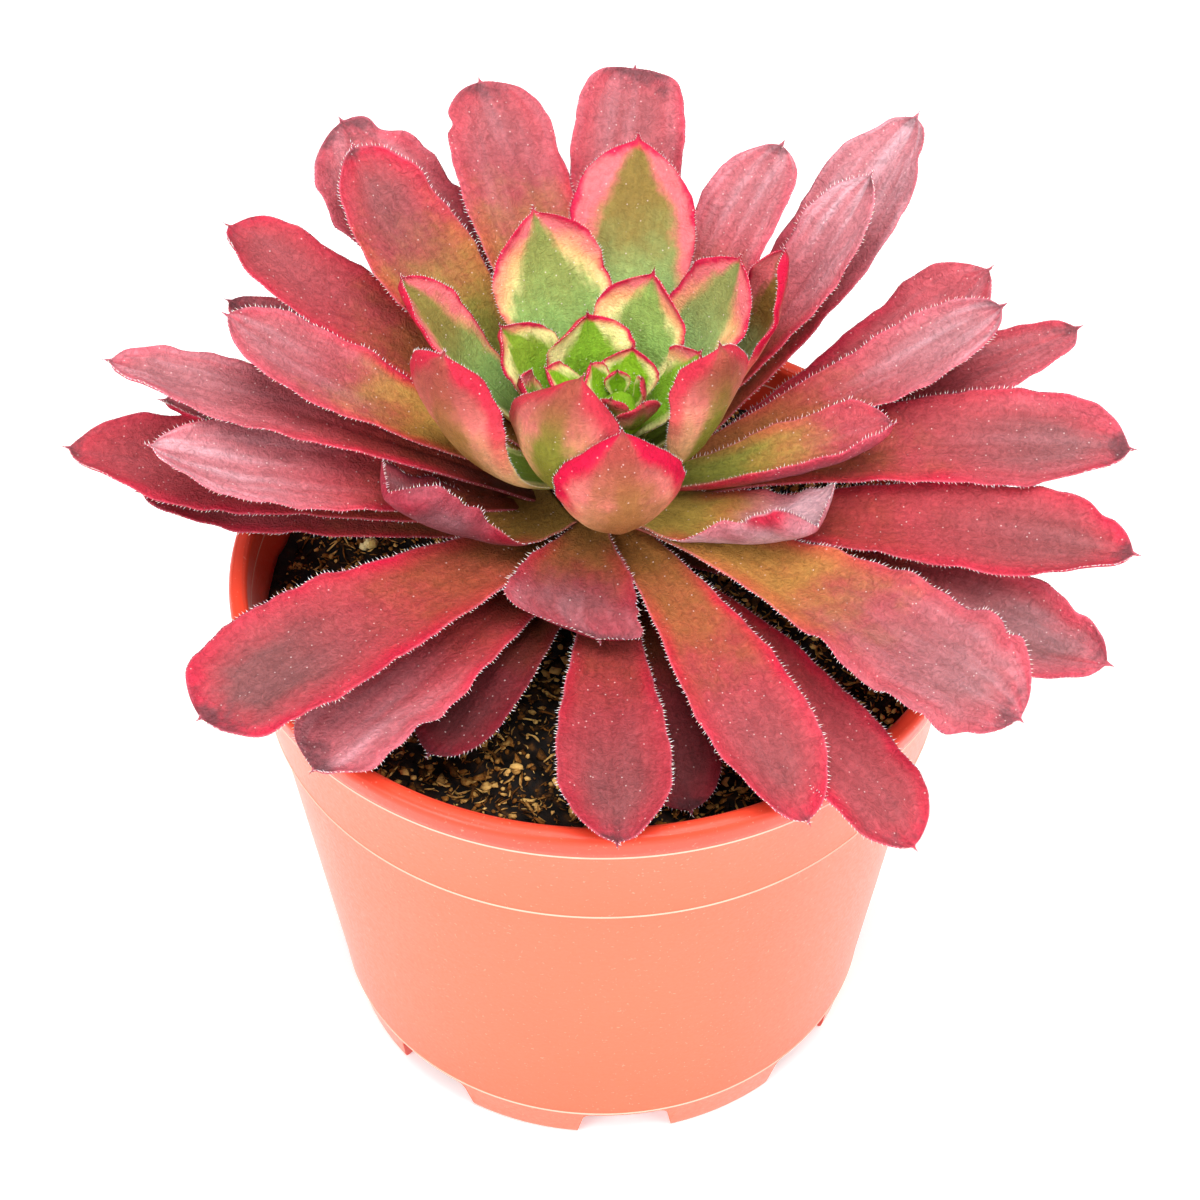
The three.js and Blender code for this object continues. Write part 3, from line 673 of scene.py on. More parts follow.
def hairs(leaves: list[Leaf], spacing: float, length: float, radius: float) -> Surface:
    """Stiff hairs along both edges of each leaf: slim four-faced spikes that lean a little towards the tip.

    Args:
        leaves: the leaves that carry them.
        spacing: distance between hairs in mm.
        length: mean length in mm.
        radius: radius at the foot in mm.

    Returns:
        All hairs as one surface.
    """
    sunk = 0.2  # mm of each hair that stands in the leaf
    thirds = (0, 2.094, 4.189)  # a third of a turn apart
    strips = [leaf.edge(side, spacing) for leaf in leaves for side in (-1, 1)]
    at, out, ahead = (np.concatenate(arrays) for arrays in zip(*strips))
    draw = np.random.default_rng(len(at))
    across = np.cross(out, ahead)
    lean = draw.normal(0, 0.22, (len(at), 2)) + [0.3, 0]
    aim = out + ahead * lean[:, :1] + across * lean[:, 1:]
    aim /= np.linalg.norm(aim, axis=1, keepdims=True)
    reach = length * draw.uniform(0.6, 1.25, len(at))[:, None]
    foot = at - sunk * aim
    corners = [foot + radius * (ahead * math.cos(a) + across * math.sin(a)) for a in thirds]
    points = np.stack([*corners, at + aim * reach], axis=1).reshape(-1, 3)
    spike = np.array([[0, 2, 1], [0, 1, 3], [1, 2, 3], [2, 0, 3]])
    triangles = (np.arange(len(at))[:, None, None] * 4 + spike).reshape(-1, 3)
    return Surface(points, np.empty((0, 4), dtype=int), triangles, np.zeros((len(points), 2)))


@dataclass(frozen=True)
class SkinPatterns:
    """The sockets that both leaf skins read."""

    across: bpy.types.NodeSocket
    along: bpy.types.NodeSocket
    inset: bpy.types.NodeSocket
    under: bpy.types.NodeSocket
    place: bpy.types.NodeSocket
    streak: bpy.types.NodeSocket
    fine: bpy.types.NodeSocket
    grain: bpy.types.NodeSocket
    mottle: bpy.types.NodeSocket


def skin_patterns(sh: Shader, streak_mm: float) -> SkinPatterns:
    """Adds what both leaf skins start from: places on the blade, streaks along it, grain and mottling.

    Args:
        sh: the shader that is being built.
        streak_mm: spacing of the streaks, on a blade 22 mm wide.

    Returns:
        The sockets.
    """
    blade_width = 22.0
    streaks = blade_width / streak_mm
    across, along, _ = sh.add("SeparateXYZ", {0: sh.add("UVMap", uv_map=BLADE_MAP)}).node.outputs
    inset, under, seed = (
        sh.add("Attribute", output="Fac", attribute_name=word) for word in ("inset", "under", "seed")
    )
    place = sh.add("TexCoord", output="Object")
    stretched = sh.add("Math", {0: along, 1: 0.4}, **TIMES)
    blade = sh.add("CombineXYZ", {0: across, 1: stretched, 2: seed})
    coarse = {"Vector": place, "Scale": 1 / (9 * MM), "Detail": 5.0, "Roughness": 0.65}
    grain = {"Vector": place, "Scale": 1 / (1.5 * MM), "Detail": 4.0, "Roughness": 0.65, "Distortion": 1.5}
    return SkinPatterns(
        across=across,
        along=along,
        inset=inset,
        under=under,
        place=place,
        streak=sh.add("TexNoise", {"Vector": blade, "Scale": streaks / 1.6, "Detail": 3.0}),
        fine=sh.add("TexNoise", {"Vector": blade, "Scale": streaks * 2.4, "Detail": 3.0}),
        grain=sh.add("TexNoise", grain),
        mottle=sh.add("Math", {0: sh.add("TexNoise", coarse), 1: 0.5}, operation="SUBTRACT"),
    )


def leaf_surface(
    sh: Shader, colour: bpy.types.NodeSocket, skin: SkinPatterns, cell_mm: float, contrast: float
) -> bpy.types.Material:
    """Ends a leaf skin: mottled grain, satin cuticle, a relief of grain and cells, and light in the flesh.

    Args:
        sh: the shader that is being built.
        colour: the skin's colour.
        skin: the sockets of the blade's patterns.
        cell_mm: size of the skin's cells.
        contrast: how far the mottling darkens and lightens the colour.

    Returns:
        The finished material.
    """
    dot_spacing, dot_colour = 1.8, "#ffe6e2"
    lines = sh.add("MapRange", {0: skin.fine, 1: 0.3, 2: 0.7, 3: 0.9, 4: 1.09})
    mottled = sh.add("MapRange", {0: skin.grain, 1: 0.32, 2: 0.68, 3: 1 - contrast, 4: 1 + contrast})
    for tone in (lines, mottled):
        colour = sh.add("Mix", {0: 1.0, 6: colour, 7: tone}, 2, **TINT)
    # Short glandular hairs dot the skin
    dots = sh.add("TexVoronoi", {"Vector": skin.place, "Scale": 1 / (dot_spacing * MM)}, "Distance")
    dots = sh.add("MapRange", {0: dots, 1: 0.11, 2: 0.06, 4: 0.4})
    colour = sh.add("Mix", {0: dots, 6: colour, 7: dot_colour}, 2, **COLOURS)
    cells = sh.add("TexNoise", {"Vector": skin.place, "Scale": 1 / (cell_mm * MM), "Detail": 2.0})
    height = sh.add("Math", {0: skin.grain, 1: 2.2, 2: cells}, **TIMES_PLUS)
    bump = sh.add("Bump", {"Strength": 0.7, "Distance": 0.35 * MM, "Height": height})
    rough = sh.add("MapRange", {0: skin.streak, 1: 0.3, 2: 0.7, 3: 0.44, 4: 0.6})
    return sh.finish({
        "Base Color": colour,
        "Roughness": rough,
        "IOR": 1.42,
        "Specular IOR Level": 0.12,
        "Subsurface Weight": 0.08,
        "Subsurface Radius": (1.0, 0.3, 0.18),
        "Subsurface Scale": 1.5 * MM,
        "Normal": bump,
    })


@dataclass(frozen=True)
class RedSkin:
    """Skin of a sunlit aeonium leaf: crimson over brown-green flesh, satin from its thin wax."""

    base: str = "#5c2c16"
    green_base: str = "#7f8036"
    waist: str = "#8f3a30"
    golden: str = "#b0803f"  # flesh that shows through at the foot of the younger leaves
    field: str = "#ac3b43"
    far: str = "#b03843"
    edge: str = "#c5173a"
    middle: str = "#7c4646"
    point: str = "#5a3e42"
    wax: str = "#c99ea6"
    rim: str = "#d8667a"
    under_base: str = "#84602f"
    under_field: str = "#964953"
    under_patch: str = "#c0223f"
    # painted shade: the dark maroon of leaves deep in the shadow of others
    painted_shade: str = "#2a0407"
    patch_mm: float = 24  # size of the patches with a stronger margin above and more wax below
    streak_mm: float = 2.2  # spacing of the lengthwise streaks on a blade 22 mm wide
    cell_mm: float = 0.5  # swollen skin cells, drawn several times too coarse so that they show
    contrast: float = 0.26

    def material(self) -> bpy.types.Material:
        """Builds the node tree: colour along the blade, red margin, greyed end, wax, rim, underside,
        painted shade.

        Returns:
            The finished material.
        """
        sh = Shader("red_leaf_skin")
        skin = skin_patterns(sh, self.streak_mm)
        patch_scale = 1 / (self.patch_mm * MM)
        patches = sh.add("TexNoise", {"Vector": skin.place, "Scale": patch_scale, "Detail": 2.0})
        olive, grey, bloom, shade = (
            sh.add("Attribute", output="Fac", attribute_name=word) for word in RED_MARKS
        )
        # Brown-green flesh shows at the foot, and the red pigment thickens towards the light
        ragged = skin.along
        for term, weight in ((olive, -0.3), (skin.mottle, 0.55)):
            ragged = sh.add("Math", {0: term, 1: weight, 2: ragged}, **TIMES_PLUS)
        stops = [(0.0, self.base), (1.0, self.far), (0.22, self.waist), (0.5, self.field)]
        colour = sh.add("ValToRGB", {0: ragged}, stops=stops)
        riper = sh.add("MapRange", {0: olive, 1: 0.3, 2: 0.75, 4: 0.9})
        golden = sh.add("MapRange", {0: ragged, 1: 0.52, 2: 0.14, 4: riper}, **SOFT)
        greener = sh.add("MapRange", {0: olive, 1: 0.6, 2: 1.0})
        green = sh.add("MapRange", {0: ragged, 1: 0.34, 2: 0.0, 4: greener}, **SOFT)
        # The margin is a purer red, uneven in width and strength, with a pale rim
        uneven = sh.add("Math", {0: skin.mottle, 1: 0.5, 2: skin.inset}, **TIMES_PLUS)
        strength = sh.add("MapRange", {0: patches, 1: 0.38, 2: 0.66, 3: 0.25, 4: 1.0})
        past_foot = sh.add("MapRange", {0: skin.along, 1: 0.1, 2: 0.45, 4: strength}, **SOFT)
        edge = sh.add("MapRange", {0: uneven, 1: 0.34, 2: 0.0, 4: past_foot}, **SOFT)
        rim = sh.add("MapRange", {0: skin.inset, 1: 0.045, 2: 0.015, 4: 0.45}, **SOFT)
        # The middle of the end is duller, with pale wax in soft streaks, and the point is withered
        dull_end = sh.add("MapRange", {0: skin.along, 1: 0.4, 2: 0.9, 4: grey}, **SOFT)
        dull = sh.add("MapRange", {0: uneven, 1: 0.15, 2: 0.7, 4: dull_end}, **SOFT)
        streaks = sh.add("MapRange", {0: skin.streak, 1: 0.38, 2: 0.72, 3: 0.28, 4: 0.62}, **SOFT)
        waxy_end = sh.add("MapRange", {0: skin.along, 1: 0.4, 2: 0.9, 4: bloom}, **SOFT)
        waxy = sh.add("Math", {0: streaks, 1: waxy_end}, **TIMES)
        worn = sh.add("Math", {0: skin.streak, 1: 0.7, 2: skin.along}, **TIMES_PLUS)
        frost = sh.add("MapRange", {0: worn, 1: 1.1, 2: 1.4, 4: 0.6}, **SOFT)
        frost = sh.add("Math", {0: frost, 1: bloom}, **TIMES)
        wax = sh.add("Math", {0: waxy, 1: frost}, operation="MAXIMUM")
        withered = sh.add("Math", {0: skin.mottle, 1: 0.3, 2: skin.along}, **TIMES_PLUS)
        point = sh.add("MapRange", {0: withered, 1: 0.93, 2: 1.01, 4: 0.8}, **SOFT)
        # The underside is tan at the foot and dusky beyond, redder near the margin and waxy in patches
        under = sh.add("ValToRGB", {0: skin.along}, stops=[(0.1, self.under_base), (0.5, self.under_field)])
        patch = sh.add("MapRange", {0: uneven, 1: 0.4, 2: 0.05, 4: 0.85}, **SOFT)
        under_wax = sh.add("MapRange", {0: patches, 1: 0.45, 2: 0.7, 4: 0.5}, **SOFT)
        under_wax = sh.add("Math", {0: under_wax, 1: bloom}, **TIMES)
        for factor, over in ((patch, self.under_patch), (under_wax, self.wax)):
            under = sh.add("Mix", {0: factor, 6: under, 7: over}, 2, **COLOURS)
        # Painted shade: a leaf marked as shaded darkens towards maroon
        painted_shade = sh.add("Math", {0: shade, 1: 0.9}, **TIMES)
        for factor, over in (
            (golden, self.golden), (green, self.green_base), (edge, self.edge), (dull, self.middle),
            (wax, self.wax), (point, self.point), (rim, self.rim), (skin.under, under), (painted_shade, self.painted_shade),
        ):
            colour = sh.add("Mix", {0: factor, 6: colour, 7: over}, 2, **COLOURS)
        return leaf_surface(sh, colour, skin, self.cell_mm, self.contrast)


@dataclass(frozen=True)
class VariegatedSkin:
    """Skin of a young aeonium leaf: a green middle, cream flanks that blush pink, and a crimson margin."""

    grey_green: str = "#8aa56a"
    bright_green: str = "#7cae1e"
    dark_base: str = "#6d7f2a"
    olive_brown: str = "#84642f"
    cream: str = "#e9e096"
    peach: str = "#e6a070"
    pink: str = "#df6e73"
    edge: str = "#cc2348"
    point: str = "#74343c"
    under_green: str = "#727d28"
    under_tan: str = "#a26d40"
    under_peach: str = "#dcae78"
    under_pink: str = "#dd7a72"
    under_edge: str = "#c8143c"
    under_dusk: str = "#97403c"
    streak_mm: float = 2.0
    cell_mm: float = 0.4
    contrast: float = 0.15

    def material(self) -> bpy.types.Material:
        """Builds the node tree: the green middle and its brown end, the flanks and margin, the underside.

        Returns:
            The finished material.
        """
        sh = Shader("variegated_leaf_skin")
        skin = skin_patterns(sh, self.streak_mm)
        fresh, brown, cream, blush = (
            sh.add("Attribute", output="Fac", attribute_name=word) for word in YOUNG_MARKS
        )
        near_root = sh.add("MapRange", {0: skin.along, 1: 0.4, 2: 0.1}, **SOFT)
        ragged = sh.add("Math", {0: skin.mottle, 1: 0.35, 2: skin.along}, **TIMES_PLUS)
        browned = sh.add("MapRange", {0: ragged, 1: 0.42, 2: 0.78, 4: brown}, **SOFT)
        # Flanks are cream low on the blade, then peach, and pink towards the tip and close to the margin
        warm = ragged
        for term, weight in ((skin.inset, -0.45), (blush, 0.45), (cream, -0.22)):
            warm = sh.add("Math", {0: term, 1: weight, 2: warm}, **TIMES_PLUS)
        stops = [(0.56, self.cream), (0.9, self.pink), (0.72, self.peach)]
        flank = sh.add("ValToRGB", {0: warm}, stops=stops)
        # The green middle narrows to the tip like a drop, with lengthwise streaks in its soft border
        off_middle = sh.add("Math", {0: skin.across, 1: 2.0, 2: -1.0}, **TIMES_PLUS)
        spread = sh.add("Math", {0: off_middle}, operation="ABSOLUTE")
        streaky = sh.add("Math", {0: skin.streak, 1: 0.5}, operation="SUBTRACT")
        for term, weight in ((streaky, 0.6), (skin.mottle, 0.7)):
            spread = sh.add("Math", {0: term, 1: weight, 2: spread}, **TIMES_PLUS)
        narrowing = sh.add("MapRange", {0: skin.along, 1: 0.5, 2: 1.0, 4: 0.6}, **SOFT)
        narrowed = spread
        for term, weight in ((narrowing, 1.0), (brown, -0.14)):
            narrowed = sh.add("Math", {0: term, 1: weight, 2: narrowed}, **TIMES_PLUS)
        beyond = sh.add("MapRange", {0: narrowed, 1: 0.52, 2: 0.92}, **SOFT)
        # The crimson margin is uneven in width and starts past the foot
        far = sh.add("MapRange", {0: ragged, 1: 0.3, 2: 0.65}, **SOFT)
        narrow = sh.add("Math", {0: skin.mottle, 1: 0.5, 2: skin.inset}, **TIMES_PLUS)
        edge = sh.add("MapRange", {0: narrow, 1: 0.14, 2: 0.0, 4: far}, **SOFT)
        point = sh.add("MapRange", {0: skin.along, 1: 0.955, 2: 1.02, 4: 0.75}, **SOFT)
        # Underside: a green or tan middle, peach and then pink flanks, and a crimson band along the margins
        spine = sh.add("MapRange", {0: brown, 1: 0.3, 2: 0.9})
        under = sh.add("Mix", {0: spine, 6: self.under_green, 7: self.under_tan}, 2, **COLOURS)
        pinker = sh.add("Math", {0: blush, 1: 0.2, 2: ragged}, **TIMES_PLUS)
        stops = [(0.2, self.under_green), (0.85, self.under_pink), (0.5, self.under_peach)]
        under_flank = sh.add("ValToRGB", {0: pinker}, stops=stops)
        lifted = sh.add("Math", {0: ragged, 1: 0.35, 2: spread}, **TIMES_PLUS)
        lifted = sh.add("MapRange", {0: lifted, 1: 0.3, 2: 0.85}, **SOFT)
        dusky = sh.add("MapRange", {0: skin.along, 1: 0.58, 2: 0.88, 4: 0.85}, **SOFT)
        band = skin.inset
        for term, weight in ((skin.mottle, 0.35), (blush, -0.13)):
            band = sh.add("Math", {0: term, 1: weight, 2: band}, **TIMES_PLUS)
        band = sh.add("MapRange", {0: band, 1: 0.27, 2: 0.05, 4: far}, **SOFT)
        off_spine = sh.add("MapRange", {0: spread, 1: 0.15, 2: 0.55, 3: 0.15}, **SOFT)
        redder = sh.add("MapRange", {0: blush, 1: 0.65, 2: 1.0, 3: 0.6})
        for limit in (off_spine, redder):
            band = sh.add("Math", {0: band, 1: limit}, **TIMES)
        for factor, over in (
            (lifted, under_flank), (dusky, self.under_dusk), (band, self.under_edge), (point, self.point),
        ):
            under = sh.add("Mix", {0: factor, 6: under, 7: over}, 2, **COLOURS)
        colour = sh.add("Mix", {0: fresh, 6: self.grey_green, 7: self.bright_green}, 2, **COLOURS)
        for factor, over in (
            (near_root, self.dark_base), (browned, self.olive_brown), (beyond, flank), (edge, self.edge),
            (point, self.point), (skin.under, under),
        ):
            colour = sh.add("Mix", {0: factor, 6: colour, 7: over}, 2, **COLOURS)
        return leaf_surface(sh, colour, skin, self.cell_mm, self.contrast)


@dataclass(frozen=True)
class HairFinish:
    """Glassy leaf hairs: dead, air-filled cells that scatter white, faintly pink in soft patches."""

    foot: str = "#f2b9bd"
    colour: str = "#fff3f0"
    roughness: float = 0.5

    def material(self) -> bpy.types.Material:
        """Builds the node tree.

        Returns:
            The finished material.
        """
        sh = Shader("leaf_hair")
        place = sh.add("TexCoord", output="Object")
        noise = sh.add("TexNoise", {"Vector": place, "Scale": 1 / (6 * MM)})
        tint = sh.add("ValToRGB", {0: noise}, stops=[(0.3, self.foot), (0.6, self.colour)])
        return sh.finish({
            "Base Color": tint,
            "Roughness": self.roughness,
            "Subsurface Weight": 0.3,
            "Subsurface Scale": 0.5 * MM,
        })


@dataclass
class Rosette:
    """The leaves, ring by ring, and the fringe of hairs on each ring."""

    rings: int = 84
    across: int = 27
    bud_across: int = 19
    hair: tuple[float, float, float] = (0.85, 0.75, 0.13)  # spacing, length and radius at the foot
    inner_hair: float = 0.7  # size of the inner leaves' hairs, as a share of the others'
    bud_hair: tuple[float, float, float] = (0.7, 0.45, 0.07)
    cone_sides: int = 32
    cone_low: tuple = ((4.4, 0.3), (4.9, 1.6), (4.8, 3))  # radius, and height above the stem's top
    cone_high: tuple = ((3.2, 2.5), (1.6, 0.8))  # radius, and depth below the growing point

    def build(self) -> None:
        """Makes a piece for each leaf, one for the bud, and a fringe of hairs for each ring of leaves."""
        red = RedSkin().material()
        variegated = VariegatedSkin().material()
        white = HairFinish().material()
        groups = (
            ("skirt", SKIRT, red, Slot.RED, 1.0),
            ("outer", OUTER, red, Slot.RED, 1.0),
            ("middle", MIDDLE, red, Slot.RED, 1.0),
            ("inner", INNER, variegated, Slot.VARIEGATED, self.inner_hair),
        )
        for word, leaves, material, slot, fine in groups:
            for i, leaf in enumerate(leaves, start=1):
                made = leaf.surface(self.rings, self.across)
                made.piece(f"{word}_blade_{i:02d}", material, slot, (f"{word}_leaf_{i:02d}",))
            hairs(leaves, *(size * fine for size in self.hair)).piece(f"{word}_hairs", white, slot)
        small = [leaf.surface(self.rings // 2, self.bud_across) for leaf in BUD]
        joined([*small, self.heart()]).piece("heart_leaves", variegated, Slot.VARIEGATED, ("bud",))
        hairs(BUD, *self.bud_hair).piece("heart_hairs", white, Slot.VARIEGATED)

    def heart(self) -> Surface:
        """The small cone of tissue that the youngest leaves grow from, turned round the growing point."""
        x, y, top = CROWN
        outline = [(radius, STEM_TOP + above) for radius, above in self.cone_low]
        outline += [(radius, top - below) for radius, below in self.cone_high]
        made = turned(outline, self.cone_sides, outline[0][1], top)
        made.points += [x, y, 0]
        made.values = {"under": 0.0, "inset": 0.6, "seed": 1.0, **BUD[0].marks}
        made.uv[:] = (0.5, 0.3)
        return made


# Pot, soil and stem


def turned(
    outline: list[tuple[float, float]] | np.ndarray, sides: int, first: float, last: float
) -> Surface:
    """Turns an outline of radius and height round the vertical axis, closed at two points of the axis.

    Args:
        outline: radius and height pairs, from the bottom of the outside on.
        sides: number of points round the axis.
        first: height on the axis that closes the start.
        last: height on the axis that closes the end.

    Returns:
        The closed surface.
    """
    profile = np.asarray(outline, dtype=float)
    radius, height = profile[:, :1], profile[:, 1:]
    angle = np.linspace(0, -math.tau, sides, endpoint=False)
    rings = np.stack(np.broadcast_arrays(radius * np.cos(angle), radius * np.sin(angle), height), axis=-1)
    travelled = np.concatenate([[0], np.cumsum(np.hypot(*np.diff(profile, axis=0).T))])
    uv = np.stack(np.broadcast_arrays(np.linspace(0, 1, sides), travelled[:, None]), axis=-1)
    return loft(rings, np.array([0, 0, first]), np.array([0, 0, last]), uv)


def rounded(corners: list[tuple[float, float, float]], steps: int = 5) -> np.ndarray:
    """Rounds the corners of an outline: each corner becomes a short curve that leaves along its two sides.

    Args:
        corners: radius, height and rounding of each corner, in mm.
        steps: points in each rounded corner.

    Returns:
        The points of the outline.
    """
    places = np.array([c[:2] for c in corners], dtype=float)
    made = [places[0]]
    for before, corner, after, soft in zip(places, places[1:], places[2:], [c[2] for c in corners[1:]]):
        if soft == 0:
            made.append(corner)
            continue
        back = (before - corner) / np.linalg.norm(before - corner)
        ahead = (after - corner) / np.linalg.norm(after - corner)
        share = np.linspace(0, 1, steps)[:, None]
        made.extend(corner + back * soft * (1 - share) ** 2 + ahead * soft * share**2)
    return np.array([*made, places[-1]])


@dataclass(frozen=True)
class PotPlastic:
    """Polypropylene, injection moulded: satin, slightly see-through; lip and inside painted redder for
    light and shade.
    """

    wall: str = "#e96542"
    # painted light and shade: the lip and the inside are redder, for light through the lip and shade in the
    # pot
    lip: str = "#ea482f"
    # painted highlight: the pale colour of the lines along the moulded edges
    line: str = "#ffd9c6"
    scuff: str = "#ffc3aa"
    lip_from: tuple[float, float] = (112.6, 114.0)  # the lip's colour sets in between these heights
    lines: tuple[float, float, float] = (10.3, 90.0, 113.0)  # heights of the painted highlight lines: the beads, the step and the ledge
    highlight_mm: float = 0.4
    highlight_strength: float = 0.65
    roughness: float = 0.33
    cloud_mm: float = 40
    scuff_mm: float = 0.8
    grain_mm: float = 0.9

    def material(self) -> bpy.types.Material:
        """Builds the node tree: wall and lip colours by height and side, faint clouds, scuffs and grain.

        Returns:
            The finished material.
        """
        sh = Shader("moulded_polypropylene")
        place = sh.add("TexCoord", output="Object")
        height = sh.add("SeparateXYZ", {0: place}).node.outputs[2]
        # Painted light and shade: the lip and the faces that turn inwards take the deeper red, for light
        # through the thick lip and shade inside the pot
        normal = sh.add("NewGeometry", output="Normal")
        flat = sh.add("VectorMath", {0: place, 1: (1.0, 1.0, 0.0)}, **TIMES)
        facing = sh.add("VectorMath", {0: normal, 1: flat}, "Value", operation="DOT_PRODUCT")
        inner = sh.add("MapRange", {0: facing, 1: 0.03, 2: -0.01}, **SOFT)
        above = sh.add("MapRange", {0: height, 1: self.lip_from[0] * MM, 2: self.lip_from[1] * MM}, **SOFT)
        red = sh.add("Math", {0: inner, 1: above}, operation="MAXIMUM")
        clouds = sh.add("TexNoise", {"Vector": place, "Scale": 1 / (self.cloud_mm * MM), "Detail": 3.0})
        tone = sh.add("MapRange", {0: clouds, 1: 0.3, 2: 0.7, 3: 0.97, 4: 1.03})
        colour = sh.add("Mix", {0: red, 6: self.wall, 7: self.lip}, 2, **COLOURS)
        colour = sh.add("Mix", {0: 1.0, 6: colour, 7: tone}, 2, **TINT)
        # Painted highlights: fine pale lines along the thin moulded edges, where the light catches them
        edges = 0.0
        for z in self.lines:
            near = sh.add("Math", {0: height, 1: z * MM, 2: self.highlight_mm / 2 * MM}, operation="COMPARE")
            edges = sh.add("Math", {0: near, 1: self.highlight_strength, 2: edges}, **TIMES_PLUS)
        specks = sh.add("TexNoise", {"Vector": place, "Scale": 1 / (self.scuff_mm * MM), "Detail": 2.0})
        pale = sh.add("MapRange", {0: specks, 1: 0.66, 2: 0.74, 4: 0.25})
        for factor, over in ((edges, self.line), (pale, self.scuff)):
            colour = sh.add("Mix", {0: factor, 6: colour, 7: over}, 2, **COLOURS)
        grain = sh.add("TexNoise", {"Vector": place, "Scale": 1 / (self.grain_mm * MM), "Detail": 3.0})
        bump = sh.add("Bump", {"Strength": 0.12, "Distance": 0.2 * MM, "Height": grain})
        low, high = self.roughness - 0.05, self.roughness + 0.08
        rough = sh.add("MapRange", {0: grain, 1: 0.3, 2: 0.7, 3: low, 4: high})
        return sh.finish({
            "Base Color": colour,
            "Roughness": rough,
            "IOR": 1.49,
            "Specular IOR Level": 0.3,
            "Sheen Weight": 0.35,
            "Sheen Roughness": 0.2,
            "Subsurface Weight": 0.12,
            "Subsurface Radius": (1.0, 0.4, 0.25),
            "Subsurface Scale": 2 * MM,
            "Normal": bump,
        })


